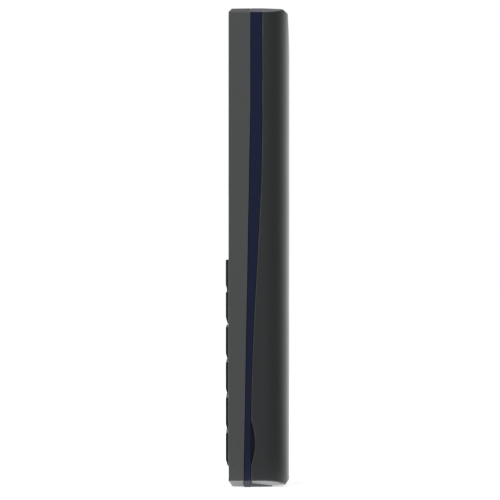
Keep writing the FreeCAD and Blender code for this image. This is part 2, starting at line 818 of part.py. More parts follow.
def make_rear_cover():
    """Moulded clip-on back with a nail notch and sound slots."""
    body = new_body("rear_cover")
    phone_blank(body)
    cut(body, "parting_cut", "X", -FAR, FAR,
        outline(*rear_seam(half_gap), (-FAR, PAST_BASE), (-FAR, PAST_TOP)))
    flank_back = dims.back_face - dims.back_side_round
    flat_side = half_width - dims.back_side_round
    inner_side = half_width - dims.rear_wall
    inner_back = dims.back_face - dims.rear_wall
    inner_round = dims.back_side_round - dims.rear_wall
    cut(body, "hollow", "Z", dims.rear_end_wall, TOP - dims.rear_end_wall, outline(
        (inner_side, -FAR),
        (inner_side, flank_back, inner_round, "left"),
        (flat_side, inner_back),
        (-flat_side, inner_back, inner_round, "left"),
        (-inner_side, flank_back),
        (-inner_side, -FAR)))
    ends = (
        ("base", PAST_BASE, dims.end_panel_wall + dims.lip_gap, dims.rear_seam_base,
         dims.base_panel_back),
        ("top", TOP - dims.end_panel_wall - dims.lip_gap, PAST_TOP, dims.rear_seam_top,
         dims.top_panel_back),
    )
    for end, low, high, seam, back in ends:
        wide, narrow = end_panel(seam - half_gap, back, dims.panel_gap)
        cut(body, f"{end}_panel_notch", "Z", low, high, outline(
            (wide[0], -FAR), wide, narrow, (-narrow[0], narrow[1]),
            (-wide[0], wide[1]), (-wide[0], -FAR)))
    outside = dims.back_face + MARGIN
    cut(body, "upper_lean", "X", -FAR, FAR, outline(
        (dims.back_face - dims.lean_drop, PAST_TOP),
        (outside, PAST_TOP),
        (outside, dims.lean_height),
        (dims.back_face, dims.lean_height, dims.lean_radius, "left")))
    cut(body, "top_corner_cut", "X", -FAR, FAR, top_corner())
    cut(body, "base_corner_cut", "X", -FAR, FAR, outline(
        (dims.base_corner_start, 0),
        (dims.base_corner_start, PAST_BASE),
        (outside, PAST_BASE),
        (dims.base_corner_back, dims.base_corner_rise),
        (dims.base_knee, dims.base_knee_rise)))
    half_notch = dims.notch_long / 2
    notch_radius = (half_notch.value ** 2 + SIZES["notch_deep"] ** 2) / (2 * SIZES["notch_deep"])
    seam = dims.rear_seam_base + half_gap
    cut(body, "nail_notch", "X", dims.notch_inside, FAR, outline(
        (seam, dims.notch_height - half_notch, size(notch_radius), "left"),
        (seam, dims.notch_height + half_notch),
        (seam - MARGIN, dims.notch_height + half_notch),
        (seam - MARGIN, dims.notch_height - half_notch)))
    slots = [middle_box(dims.speaker_side + (number - SOUND_SLOTS // 2) * dims.sound_slot_pitch,
                        dims.speaker_height, dims.sound_slot_wide, dims.sound_slot_long,
                        dims.sound_slot_round)
             for number in range(SOUND_SLOTS)]
    cut(body, "sound_slots", "Y", inner_back - MARGIN, FAR, *slots)
    return body


# Keypad

ring_height = (dims.soft_key_height + dims.call_key_height) / 2
column_step = dims.key_width + dims.key_gap
side_key_place = (dims.ring_width + dims.side_key_width) / 2 + dims.key_gap
NUMBER_KEYS = [
    ("key_star", "key_0", "key_hash"),
    ("key_7", "key_8", "key_9"),
    ("key_4", "key_5", "key_6"),
    ("key_1", "key_2", "key_3"),
]
KEYS = {
    name: ((column - 1) * column_step, dims.key_low_row + row * dims.key_pitch,
           dims.key_width, dims.key_tall)
    for row, names in enumerate(NUMBER_KEYS) for column, name in enumerate(names)
}
for side_name, across in (("left", -side_key_place), ("right", side_key_place)):
    KEYS[f"soft_key_{side_name}"] = (
        across, dims.soft_key_height, dims.side_key_width, dims.side_key_tall)
KEYS["call_key"] = (-side_key_place, dims.call_key_height, dims.side_key_width, dims.side_key_tall)
KEYS["end_key"] = (side_key_place, dims.call_key_height, dims.side_key_width, dims.side_key_tall)
DOME_PLACES = [(across, height) for across, height, _wide, _tall in KEYS.values()]
DOME_PLACES.append((size(0), ring_height))
dome_rise = dims.ring_dome_reach * dims.ring_dome_squash
for side in (-1, 1):
    DOME_PLACES.append((side * dims.ring_dome_reach, ring_height))
    DOME_PLACES.append((size(0), ring_height + side * dome_rise))


def make_key(name, across, height, wide, tall):
    """Moulded key cap: flat top, sloped lower end, softened edges."""
    body = new_body(name)
    low, high = -tall / 2, tall / 2
    grow(body, "cap", "X", -wide / 2, wide / 2, outline(
        (dims.key_back, low),
        (dims.key_front + dims.key_slope_deep, low),
        (dims.key_front, low + dims.key_slope_tall),
        (dims.key_front, high),
        (dims.key_back, high)))
    ease(body, "corners", dims.key_corner_round, lambda edge: runs_along(edge, "Y"))
    top_limit = SIZES["key_front"] + SIZES["key_slope_deep"] + TINY
    ease(body, "edges", dims.key_edge_round, lambda edge: edge.YMax < top_limit)
    if name == "key_5":
        nib_front, nib_back = dims.key_front - dims.nib_proud, dims.key_front + dims.overlap
        grow(body, "finger_nib", "Y", nib_front, nib_back,
             disc(0, 0, dims.nib_radius))
    place(body, x=across, z=height)
    return body


def make_nav_ring():
    """Four-way ring round the select key, with a recess behind for its pivot pad."""
    body = new_body("nav_ring")
    grow(body, "ring", "Y", dims.ring_front, dims.key_back,
         middle_box(0, 0, dims.ring_width, dims.ring_tall, dims.ring_round),
         middle_box(0, 0, dims.ring_hole_width, dims.ring_hole_tall, dims.ring_hole_round))
    cut(body, "pad_recess", "Y", dims.key_back - dims.pivot_recess_deep, 0, middle_box(
        0, 0, dims.pivot_recess_width, dims.pivot_recess_tall, dims.pivot_recess_round))
    ease(body, "edges", dims.ring_edge_round, lambda edge: lies_at(edge, "Y", dims.ring_front))
    place(body, z=ring_height)
    return body


def make_nav_pivot_pad():
    """Soft pad that the ring rocks on."""
    body = new_body("nav_pivot_pad")
    gap = dims.pivot_pad_gap
    grow(body, "pad", "Y", dims.key_back - dims.pivot_pad_thick, dims.key_back,
         middle_box(0, 0, dims.pivot_recess_width - 2 * gap, dims.pivot_recess_tall - 2 * gap,
                    dims.pivot_recess_round - gap),
         middle_box(0, 0, dims.ring_hole_width + 2 * gap, dims.ring_hole_tall + 2 * gap,
                    dims.ring_hole_round))
    place(body, z=ring_height)
    return body


def make_select_key():
    """Middle key of the ring."""
    body = new_body("select_key")
    wide = dims.ring_hole_width - 2 * dims.select_gap
    tall = dims.ring_hole_tall - 2 * dims.select_gap
    grow(body, "cap", "Y", dims.select_front, dims.key_back,
         middle_box(0, 0, wide, tall, dims.select_round))
    ease(body, "edges", dims.select_edge_round,
         lambda edge: lies_at(edge, "Y", dims.select_front))
    place(body, z=ring_height)
    return body


def make_key_mat():
    """Silicone sheet behind the key caps with a plunger for each dome."""
    body = new_body("key_mat")
    mat_back = dims.mat_front + dims.mat_thick
    grow(body, "web", "Y", dims.mat_front, mat_back,
         box(-dims.mat_width / 2, dims.mat_width / 2, dims.mat_low, dims.mat_high,
             dims.sheet_round))
    grow(body, "plungers", "Y", mat_back - dims.overlap, dims.plunger_tip,
         *[disc(x, z, dims.plunger_radius) for x, z in DOME_PLACES])
    return body


def make_dome_sheet():
    """Film with the snap domes that give each key its click."""
    body = new_body("dome_sheet")
    film_front = dims.board_front - dims.dome_film
    inset = dims.film_inset
    edge = dims.board_width / 2 - inset
    grow(body, "film", "Y", film_front, dims.board_front,
         box(-edge, edge, dims.board_low + inset, dims.mat_high - inset, dims.sheet_round))
    grow(body, "domes", "Y", film_front - dims.dome_rise, film_front + dims.dome_film / 2,
         *[disc(x, z, dims.dome_radius) for x, z in DOME_PLACES])
    return body


# Display and earpiece

def make_display_window():
    """Clear lens, flush in its recess."""
    body = new_body("display_window")
    half = dims.window_width / 2 - dims.window_gap
    grow(body, "lens", "Y", dims.front_face, dims.front_face + dims.window_depth, box(
        -half, half, dims.window_low + dims.window_gap, dims.window_high - dims.window_gap,
        dims.window_round - dims.window_gap))
    ease(body, "edge", dims.window_edge_round, lambda edge: lies_at(edge, "Y", dims.front_face))
    return body


def make_display_gasket():
    """Foam frame between the front cover and the display."""
    body = new_body("display_gasket")
    half, low, high = dims.view_width / 2, dims.view_low, dims.view_high
    outside, inside = dims.gasket_outside, dims.gasket_inside
    grow(body, "foam", "Y", inner_front + dims.rest_gap, inner_front + dims.gasket_thick,
         box(-half - outside, half + outside, low - outside, high + outside, dims.sheet_round),
         box(-half - inside, half + inside, low - inside, high + inside, dims.view_round))
    return body


def make_display_panel():
    """Liquid crystal display module."""
    body = new_body("display_panel")
    half = dims.panel_width / 2
    grow(body, "module", "Y", dims.panel_front, dims.panel_back,
         box(-half, half, dims.panel_low, dims.panel_high))
    return body


def make_display_frame():
    """Tray that holds the display on the circuit board."""
    body = new_body("display_frame")
    half = dims.panel_width / 2 + dims.panel_slack
    low, high = dims.panel_low - dims.panel_slack, dims.panel_high + dims.panel_slack
    wall = dims.tray_wall
    floor_front = dims.panel_back + dims.rest_gap
    grow(body, "tray", "Y", dims.panel_front + dims.tray_setback, floor_front + dims.tray_floor,
         box(-half - wall, half + wall, low - wall, high + wall, dims.tray_round))
    cut(body, "pocket", "Y", -FAR, floor_front, box(-half, half, low, high))
    flex_half = dims.flex_width / 2 + dims.flex_gap
    cut(body, "flex_notch", "Y", -FAR, 0,
        box(-flex_half, flex_half, low - MARGIN, low + dims.flex_gap))
    return body


def make_display_flex():
    """Ribbon from the display down to the circuit board."""
    body = new_body("display_flex")
    high_front, high_back = dims.flex_front, dims.flex_front + dims.flex_thick
    low_back = dims.board_front - dims.rest_gap
    low_front = low_back - dims.flex_thick
    shift = dims.flex_bend_shift
    grow(body, "ribbon", "X", -dims.flex_width / 2, dims.flex_width / 2, outline(
        (high_front, dims.flex_high),
        (high_front, dims.flex_bend_high),
        (low_front, dims.flex_bend_low),
        (low_front, dims.flex_low),
        (low_back, dims.flex_low),
        (low_back, dims.flex_bend_low + shift),
        (high_back, dims.flex_bend_high + shift),
        (high_back, dims.flex_high)))
    return body


def make_earpiece_mesh():
    """Fine mesh behind the earpiece slot."""
    body = new_body("earpiece_mesh")
    margin = 2 * dims.mesh_margin
    grow(body, "mesh", "Y", inner_front + dims.rest_gap, inner_front + dims.mesh_thick,
         middle_box(0, dims.earpiece_height, dims.earpiece_slot_width + margin,
                    dims.earpiece_slot_tall + margin, dims.mesh_round))
    return body


def make_earpiece_speaker():
    """Small receiver that the mesh covers."""
    body = new_body("earpiece_speaker")
    front, back = inner_front + dims.mesh_thick + dims.rest_gap, dims.board_front - dims.rest_gap
    grow(body, "receiver", "Y", front, back,
         middle_box(0, dims.earpiece_height - dims.earpiece_drop, dims.earpiece_width,
                    dims.earpiece_tall, dims.earpiece_round))
    return body


# Circuit board and what it carries

def make_circuit_board():
    """The printed circuit board."""
    body = new_body("circuit_board")
    half = dims.board_width / 2
    grow(body, "laminate", "Y", dims.board_front, board_back,
         box(-half, half, dims.board_low, dims.board_high, dims.board_round))
    notch = dims.boss_radius + dims.boss_clear
    inside, outside = dims.boss_side - notch, half + MARGIN
    cut(body, "boss_notches", "Y", -FAR, FAR, *[
        box(low, high, height - notch, height + notch, dims.board_round)
        for low, high in ((inside, outside), (-outside, -inside))
        for height in (dims.boss_low, dims.boss_high)])
    return body


def make_shield(name, across, height, wide, tall):
    """Pressed metal can over a group of chips."""
    body = new_body(name)
    wall = dims.shield_wall
    grow(body, "can", "Y", board_back, board_back + dims.shield_tall,
         middle_box(0, 0, wide, tall, dims.shield_round))
    cut(body, "inside", "Y", -FAR, board_back + dims.shield_tall - wall,
        middle_box(0, 0, wide - 2 * wall, tall - 2 * wall, dims.shield_round - wall))
    place(body, x=across, z=height)
    return body


def make_chip(name, across, height, wide, tall):
    """Flat chip soldered to the board."""
    body = new_body(name)
    grow(body, "package", "Y", board_back, board_back + dims.chip_tall,
         middle_box(0, 0, wide, tall))
    place(body, x=across, z=height)
    return body


def make_microphone():
    """Round microphone capsule at the lower end."""
    body = new_body("microphone")
    grow(body, "capsule", "Y", board_back, board_back + dims.microphone_tall,
         disc(dims.microphone_side, dims.microphone_height, dims.microphone_radius))
    return body


def make_usb_shell():
    """Folded metal shell of the charging socket."""
    body = new_body("usb_shell")
    back = dims.usb_mouth + dims.usb_long
    wall = dims.usb_wall
    grow(body, "shell", "Z", dims.usb_mouth, back,
         middle_box(0, dims.usb_place, dims.usb_width, dims.usb_tall, dims.usb_round))
    cut(body, "mouth", "Z", PAST_BASE, back - wall, middle_box(
        0, dims.usb_place, dims.usb_width - 2 * wall, dims.usb_tall - 2 * wall,
        dims.usb_round - wall))
    return body


def make_usb_tongue():
    """Contact tongue inside the charging socket."""
    body = new_body("usb_tongue")
    low = dims.usb_mouth + dims.tongue_setback
    high = dims.usb_mouth + dims.usb_long - dims.usb_wall
    grow(body, "tongue", "Z", low, high,
         middle_box(0, dims.usb_place, dims.tongue_width, dims.tongue_tall, dims.tongue_round))
    return body


def make_headphone_jack():
    """Socket block with a round sleeve that ends flush with the upper end."""
    body = new_body("headphone_jack")
    half = dims.jack_block / 2
    block_top = inside_top - dims.jack_room
    grow(body, "block", "Z", dims.jack_low, block_top, box(
        dims.jack_side - half, dims.jack_side + half,
        board_back + dims.rest_gap, dims.jack_place + half))
    grow(body, "sleeve", "Z", block_top - dims.overlap, TOP - dims.sleeve_setback,
         disc(dims.jack_side, dims.jack_place, dims.jack_sleeve))
    cut(body, "bore", "Z", dims.jack_low + dims.jack_floor, PAST_TOP,
        disc(dims.jack_side, dims.jack_place, dims.jack_bore))
    return body


def make_torch_led():
    """Light source of the torch."""
    body = new_body("torch_led")
    low = TOP - dims.torch_lamp_drop
    grow(body, "lamp", "Z", low, low + dims.torch_lamp_long,
         disc(dims.torch_side, dims.torch_place, dims.torch_lamp_radius))
    return body


def make_torch_lens():
    """Clear lens in the upper end."""
    body = new_body("torch_lens")
    high = TOP - dims.torch_lens_setback
    grow(body, "lens", "Z", high - dims.torch_lens_long, high,
         disc(dims.torch_side, dims.torch_place, dims.torch_radius))
    ease(body, "edge", dims.torch_lens_round, lambda edge: lies_at(edge, "Z", high))
    return body


card_floor = board_back + dims.rest_gap + dims.holder_wall


def make_card_holder(name, side):
    """Pressed metal holder for one small card."""
    body = new_body(name)
    across = side * dims.card_side
    half = dims.holder_width / 2
    slot = dims.card_width / 2 + dims.card_gap
    grow(body, "holder", "Y", board_back + dims.rest_gap, board_back + dims.holder_tall,
         box(across - half, across + half, dims.holder_low, dims.holder_high,
             dims.holder_round))
    cut(body, "card_slot", "Z", dims.card_low - dims.card_stop, PAST_TOP,
        box(across - slot, across + slot, card_floor, card_floor + dims.card_slot_tall))
    return body


def make_sim_card(name, side):
    """Small card with one cut corner."""
    body = new_body(name)
    across = side * dims.card_side
    low_x, high_x = across - dims.card_width / 2, across + dims.card_width / 2
    low, high = dims.card_low, dims.card_low + dims.card_long
    front, corner = card_floor + dims.card_float, dims.card_corner
    grow(body, "card", "Y", front, front + dims.card_thick, outline(
        (low_x, low), (high_x, low), (high_x, high - corner), (high_x - corner, high),
        (low_x, high)))
    return body


def make_battery_connector():
    """Plastic block that carries the battery springs."""
    body = new_body("battery_connector")
    half = dims.connector_width / 2
    grow(body, "block", "Y", board_back, dims.connector_back,
         box(-half, half, connector_low, connector_low + dims.connector_tall))
    cut(body, "spring_slots", "Y", dims.spring_slot_front, FAR, *[
        middle_box(across, connector_low, dims.spring_slot_width, 2 * dims.spring_slot_deep)
        for across in SPRING_PLACES])
    return body


def make_battery_springs():
    """Gold-plated contact blades, one solid each."""
    body = new_body("battery_springs")
    low, half = dims.battery_high + dims.spring_drop, dims.spring_width / 2
    grow(body, "blades", "Y", dims.spring_front, dims.spring_back, *[
        box(across - half, across + half, low, low + dims.spring_long)
        for across in SPRING_PLACES])
    return body


# Sound, motor, antenna, battery, fasteners

def make_loudspeaker():
    """Ringer speaker in its sound box."""
    body = new_body("loudspeaker")
    grow(body, "box", "Y", floor_back + dims.rest_gap, speaker_back, middle_box(
        dims.speaker_side, dims.speaker_height, dims.speaker_width, dims.speaker_tall,
        dims.speaker_round))
    return body


def make_loudspeaker_gasket():
    """Foam ring between the speaker and the rear cover."""
    body = new_body("loudspeaker_gasket")
    wide, tall, wall = dims.sound_ring_width, dims.sound_ring_tall, dims.sound_ring_wall
    grow(body, "foam", "Y", speaker_back + dims.rest_gap, dims.sound_ring_back,
         middle_box(dims.speaker_side, dims.speaker_height, wide, tall, dims.sound_ring_round),
         middle_box(dims.speaker_side, dims.speaker_height, wide - 2 * wall, tall - 2 * wall,
                    dims.sound_ring_round - wall))
    return body


def make_speaker_mesh():
    """Mesh glued inside the rear cover behind the sound slots."""
    body = new_body("speaker_mesh")
    inner_back = dims.back_face - dims.rear_wall
    back = inner_back - dims.rest_gap
    grow(body, "mesh", "Y", back - dims.mesh_thick, back,
         middle_box(dims.speaker_side + dims.sound_mesh_shift, dims.speaker_height,
                    dims.sound_mesh_width, dims.sound_mesh_tall, dims.mesh_round))
    return body


def make_vibration_motor():
    """Motor can of the vibrator."""
    body = new_body("vibration_motor")
    low, high = dims.motor_side - dims.motor_long / 2, dims.motor_side + dims.motor_long / 2
    grow(body, "can", "X", low, high, disc(dims.motor_place, dims.motor_height, dims.motor_radius))
    cut(body, "shaft_hole", "X", low - MARGIN, low + dims.shaft_inside + dims.shaft_end_gap,
        disc(dims.motor_place, dims.motor_height, dims.shaft_radius + dims.shaft_gap))
    return body


def make_vibration_weight():
    """Off-centre weight on the motor shaft."""
    body = new_body("vibration_weight")
    motor_low = dims.motor_side - dims.motor_long / 2
    high = motor_low - dims.weight_gap
    low = high - dims.weight_long
    middle_y, middle_z = dims.motor_place, dims.motor_height
    neck, neck_height = dims.weight_neck, middle_z - dims.weight_neck_drop
    grow(body, "half_disc", "X", low, high, outline(
        (middle_y + dims.weight_radius, middle_z, dims.weight_radius, "left"),
        (middle_y, middle_z + dims.weight_radius, dims.weight_radius, "left"),
        (middle_y - dims.weight_radius, middle_z),
        (middle_y - neck, neck_height),
        (middle_y + neck, neck_height)))
    grow(body, "shaft", "X", low, motor_low + dims.shaft_inside,
         disc(middle_y, middle_z, dims.shaft_radius))
    return body


def make_antenna():
    """Plated plastic antenna carrier at the lower end."""
    body = new_body("antenna")
    grow(body, "carrier", "Y", floor_back + dims.rest_gap, dims.antenna_back, box(
        dims.antenna_left, dims.antenna_right, dims.antenna_low, dims.antenna_high,
        dims.antenna_round))
    return body


def make_battery():
    """Slab battery that lifts out of its bay."""
    body = new_body("battery")
    half = dims.battery_width / 2
    grow(body, "cell", "Y", dims.battery_front, dims.battery_back,
         box(-half, half, dims.battery_low, dims.battery_high))
    ease(body, "edges", dims.battery_edge_round, lambda edge: runs_along(edge, "Z"))
    return body


def make_frame_screws():
    """Cross-head screws that hold the frame to the front cover, one solid each."""
    body = new_body("frame_screws")
    head_back = floor_back + dims.screw_head_tall
    grow(body, "heads", "Y", floor_back + dims.rest_gap, head_back,
         *[disc(x, z, dims.screw_head_radius) for x, z in BOSS_PLACES])
    grow(body, "shanks", "Y", floor_back - dims.screw_long, floor_back + dims.overlap,
         *[disc(x, z, dims.screw_shank_radius) for x, z in BOSS_PLACES])
    slot_long, slot_wide = dims.screw_slot_long, dims.screw_slot_wide
    for name, wide, tall in (("slot_across", slot_long, slot_wide),
                             ("slot_upright", slot_wide, slot_long)):
        cut(body, name, "Y", head_back - dims.screw_socket, FAR,
            *[middle_box(x, z, wide, tall) for x, z in BOSS_PLACES])
    return body


def make_all():
    """Every piece of the phone, in the order in which it would be put together."""
    make_front_cover()
    make_display_window()
    make_display_gasket()
    make_earpiece_mesh()
    for name, (across, height, wide, tall) in KEYS.items():
        make_key(name, across, height, wide, tall)
    make_nav_ring()
    make_nav_pivot_pad()
    make_select_key()
    make_key_mat()
    make_dome_sheet()
    make_display_panel()
    make_display_frame()
    make_display_flex()
    make_earpiece_speaker()
    make_circuit_board()
    for name, place_and_size in SHIELDS.items():
        make_shield(name, *place_and_size)
    for name, place_and_size in CHIPS.items():
        make_chip(name, *place_and_size)
    make_microphone()
    make_usb_shell()
    make_usb_tongue()
    make_headphone_jack()
    make_torch_led()
    make_torch_lens()
    for number, side in ((1, -1), (2, 1)):
        make_card_holder(f"sim_holder_{number}", side)
        make_sim_card(f"sim_card_{number}", side)
    make_battery_connector()
    make_battery_springs()
    make_loudspeaker()
    make_loudspeaker_gasket()
    make_vibration_motor()
    make_vibration_weight()
    make_antenna()
    make_middle_frame()
    make_frame_screws()
    make_battery()
    make_rear_cover()
    make_speaker_mesh()


def check_document():
    """Stop if any object failed or any piece is not a sound solid."""
    for item in doc.Objects:
        if "Invalid" in item.State or "Error" in item.State:
            raise RuntimeError(f"{item.Label} failed: {item.State}")
    for body in node_bodies:
        if body.Shape.isNull() or not body.Shape.isValid() or body.Shape.Volume <= 0:
            raise RuntimeError(f"{body.Label} has no sound shape")


make_all()
doc.recompute()
check_document()
os.makedirs("parts", exist_ok=True)
for node_body in node_bodies:
    node_body.Shape.exportStep(f"parts/{node_body.Label}.step")
    print(node_body.Label, len(node_body.Shape.Solids), round(node_body.Shape.Volume, 2))
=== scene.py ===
import bmesh
import bpy
import math
from mathutils import Matrix, Vector


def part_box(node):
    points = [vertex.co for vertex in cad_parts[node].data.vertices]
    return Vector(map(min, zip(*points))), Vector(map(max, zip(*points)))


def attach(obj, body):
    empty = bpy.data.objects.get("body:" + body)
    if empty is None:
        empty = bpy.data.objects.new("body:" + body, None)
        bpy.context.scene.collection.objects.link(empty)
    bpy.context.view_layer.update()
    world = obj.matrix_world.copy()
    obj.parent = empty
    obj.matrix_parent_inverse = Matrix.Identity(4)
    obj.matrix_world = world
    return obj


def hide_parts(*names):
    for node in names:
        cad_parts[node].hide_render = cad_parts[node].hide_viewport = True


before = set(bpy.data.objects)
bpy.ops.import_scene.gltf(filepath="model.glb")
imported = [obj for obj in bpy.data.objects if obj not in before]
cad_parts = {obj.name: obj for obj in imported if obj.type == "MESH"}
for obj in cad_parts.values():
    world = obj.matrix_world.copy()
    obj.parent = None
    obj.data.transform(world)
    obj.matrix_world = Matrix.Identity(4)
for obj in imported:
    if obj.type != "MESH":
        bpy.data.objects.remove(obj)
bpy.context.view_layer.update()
MM = 0.001
# Nearly all values of a speckle lie in the wide span, and most of them in the narrow one
WIDE_SPAN = {"From Min": 0.3, "From Max": 0.7}
NARROW_SPAN = {"From Min": 0.35, "From Max": 0.65}


# Colours and shader helpers

def linear(colour):
    """An sRGB hex colour as linear red, green, blue and alpha."""
    parts = [int(colour[start:start + 2], 16) / 255 for start in (1, 3, 5)]
    return [part / 12.92 if part <= 0.04045 else ((part + 0.055) / 1.055) ** 2.4
            for part in parts] + [1.0]


def set_inputs(tree, node, inputs):
    """Give a node's inputs numbers, hex colours, sockets, or other nodes' first outputs."""
    for name, value in inputs.items():
        if isinstance(value, bpy.types.Node):
            value = value.outputs[0]
        if isinstance(value, bpy.types.NodeSocket):
            tree.links.new(value, node.inputs[name])
        else:
            node.inputs[name].default_value = linear(value) if isinstance(value, str) else value


def add(tree, kind, inputs=None, **settings):
    """Add a node with its settings and its inputs."""
    node = tree.nodes.new(kind)
    for name, value in settings.items():
        setattr(node, name, value)
    set_inputs(tree, node, inputs or {})
    return node


def new_finish(name, **sockets):
    """A material with one Principled shader; the tree and the shader come back with it."""
    material = bpy.data.materials.new(name)
    material.use_nodes = True
    tree = material.node_tree
    shader = tree.nodes["Principled BSDF"]
    set_inputs(tree, shader, {
        title.replace("_", " "): value for title, value in sockets.items()})
    return material, tree, shader


def speckle(tree, size_mm, detail=2.0, shift=(0, 0, 0)):
    """Noise from 0 to 1 with spots of about that size, fixed to the piece."""
    spot = add(tree, "ShaderNodeTexCoord").outputs["Object"]
    moved = add(tree, "ShaderNodeMapping", {"Vector": spot, "Location": shift})
    return add(tree, "ShaderNodeTexNoise", {
        "Vector": moved, "Scale": 1 / (size_mm * MM), "Detail": detail})


def paint(tree, shader, factor, first, second):
    """Colour the surface between two colours, and return that colour."""
    base = add(tree, "ShaderNodeMix", {0: factor, 6: first, 7: second},
               data_type="RGBA").outputs[2]
    set_inputs(tree, shader, {"Base Color": base})
    return base


def roughen(tree, shader, height, deep_mm, edge_mm=0.0, eased=None):
    """Raise the surface by a height pattern that deep, over edges eased to a radius."""
    if edge_mm:
        eased = add(tree, "ShaderNodeBevel", {"Radius": edge_mm * MM}, samples=6)
    normal = {"Normal": eased} if eased else {}
    bump = add(tree, "ShaderNodeBump", {
        "Height": height, "Distance": deep_mm * MM, "Strength": 1.0, **normal})
    set_inputs(tree, shader, {"Normal": bump})


def grained(name, first, second, roughness, grain_mm, deep_mm=0.0, detail=2.0, **sockets):
    """An even finish whose grain runs between two colours and may raise the surface."""
    material, tree, shader = new_finish(name, Roughness=roughness, **sockets)
    grain = speckle(tree, grain_mm, detail)
    paint(tree, shader, grain, first, second)
    if deep_mm:
        roughen(tree, shader, grain, deep_mm)
    return material


def moulded(name, colour, wear_and_highlight, roughness, grain_mm, deep_mm, edge_mm=0.1, patch=0.06,
            **sockets):
    """A moulded plastic: grain of the mould, faint cloudy patches, edges rubbed smoother and
    painted lighter, partly as wear and partly as a painted highlight.
    """
    material, tree, shader = new_finish(name, **sockets)
    fine = speckle(tree, grain_mm)
    cloudy = speckle(tree, 14.0, detail=3.0, shift=(0.31, 0.07, 0.19))
    eased = add(tree, "ShaderNodeBevel", {"Radius": edge_mm * MM}, samples=6)
    # At an edge the eased normal parts from the true one
    normal = add(tree, "ShaderNodeNewGeometry").outputs["Normal"]
    agree = add(tree, "ShaderNodeVectorMath", {0: eased, 1: normal}, operation="DOT_PRODUCT")
    at_edge = add(tree, "ShaderNodeMapRange", {
        "Value": agree.outputs["Value"], "From Min": 0.995, "From Max": 0.86})
    uneven = add(tree, "ShaderNodeMapRange", {
        "Value": cloudy, **NARROW_SPAN, "To Min": 0.25, "To Max": 0.9})
    # Patchy mask of the edges, where they are painted lighter: partly wear, partly a painted
    # highlight along the rim
    wear_and_highlight_mask = add(tree, "ShaderNodeMath", {0: at_edge, 1: uneven}, operation="MULTIPLY")
    # The valleys of the grain are a tenth darker
    darker = [part * 0.9 for part in linear(colour)[:3]] + [1.0]
    plain = paint(tree, shader, fine, darker, colour)
    # Edges painted in the lighter colour: partly wear, partly a painted highlight
    paint(tree, shader, wear_and_highlight_mask, plain, wear_and_highlight)
    set_inputs(tree, shader, {"Roughness": add(tree, "ShaderNodeMapRange", {
        "Value": cloudy, **WIDE_SPAN,
        "To Min": roughness - patch / 2, "To Max": roughness + patch / 2})})
    roughen(tree, shader, fine, deep_mm, eased=eased)
    return material


def rolled(name, light, dark, roughness, streak_axis, streak_mm, deep_mm):
    """A rolled or plated metal: fine streaks along one axis over faint cloudy tarnish."""
    material, tree, shader = new_finish(name, Metallic=1.0)
    spot = add(tree, "ShaderNodeTexCoord").outputs["Object"]
    stretch = [0.04 if axis == streak_axis else 1.0 for axis in "XYZ"]
    stretched = add(tree, "ShaderNodeMapping", {"Vector": spot, "Scale": stretch})
    streaks = add(tree, "ShaderNodeTexNoise", {
        "Vector": stretched, "Scale": 1 / (streak_mm * MM), "Detail": 4.0})
    tarnish = add(tree, "ShaderNodeMapRange", {
        "Value": speckle(tree, 4.0, detail=4.0), "From Min": 0.4, "From Max": 0.75,
        "To Max": 0.45})
    paint(tree, shader, tarnish, light, dark)
    set_inputs(tree, shader, {"Roughness": add(tree, "ShaderNodeMapRange", {
        "Value": streaks, **WIDE_SPAN, "To Min": roughness - 0.06, "To Max": roughness + 0.08})})
    roughen(tree, shader, streaks, deep_mm, edge_mm=0.05)
    return material


# Finishes with a pattern of their own

def make_ring_lacquer():
    """ABS ring with a graphite metallic lacquer: tiny flakes under a satin coat."""
    material, tree, shader = new_finish("metallic_lacquer_ring", Metallic=0.55,
                                        Coat_Weight=0.4, Coat_Roughness=0.12)
    flakes = speckle(tree, 0.12, detail=0.0)
    bright = add(tree, "ShaderNodeMapRange", {"Value": flakes, "From Min": 0.35, "From Max": 0.7})
    paint(tree, shader, bright, "#44474c", "#6c7178")
    set_inputs(tree, shader, {"Roughness": add(tree, "ShaderNodeMapRange", {
        "Value": flakes, **WIDE_SPAN, "To Min": 0.38, "To Max": 0.26})})
    roughen(tree, shader, flakes, 0.0015, edge_mm=0.1)
    return material


def make_acrylic():
    """Cast acrylic with a hard coat: clear, with very faint wiping haze."""
    material, tree, shader = new_finish("cast_acrylic_window", Base_Color="#ffffff",
                                        IOR=1.49, Transmission_Weight=1.0)
    haze = speckle(tree, 9.0, detail=4.0)
    set_inputs(tree, shader, {"Roughness": add(tree, "ShaderNodeMapRange", {
        "Value": haze, "From Min": 0.4, "From Max": 0.8, "To Min": 0.015, "To Max": 0.06})})
    roughen(tree, shader, haze, 0.0008, edge_mm=0.08)
    return material


def make_foam():
    """Open-cell polyurethane foam: black, with cells that show as small pits."""
    material, tree, shader = new_finish("open_cell_foam", Roughness=0.95)
    spot = add(tree, "ShaderNodeTexCoord").outputs["Object"]
    cells = add(tree, "ShaderNodeTexVoronoi", {"Vector": spot, "Scale": 1 / (0.35 * MM)})
    pits = add(tree, "ShaderNodeMapRange", {
        "Value": cells.outputs["Distance"], "From Min": 0.1, "From Max": 0.6})
    paint(tree, shader, pits, "#0c0c0c", "#2a2a2b")
    roughen(tree, shader, pits, 0.06)
    return material


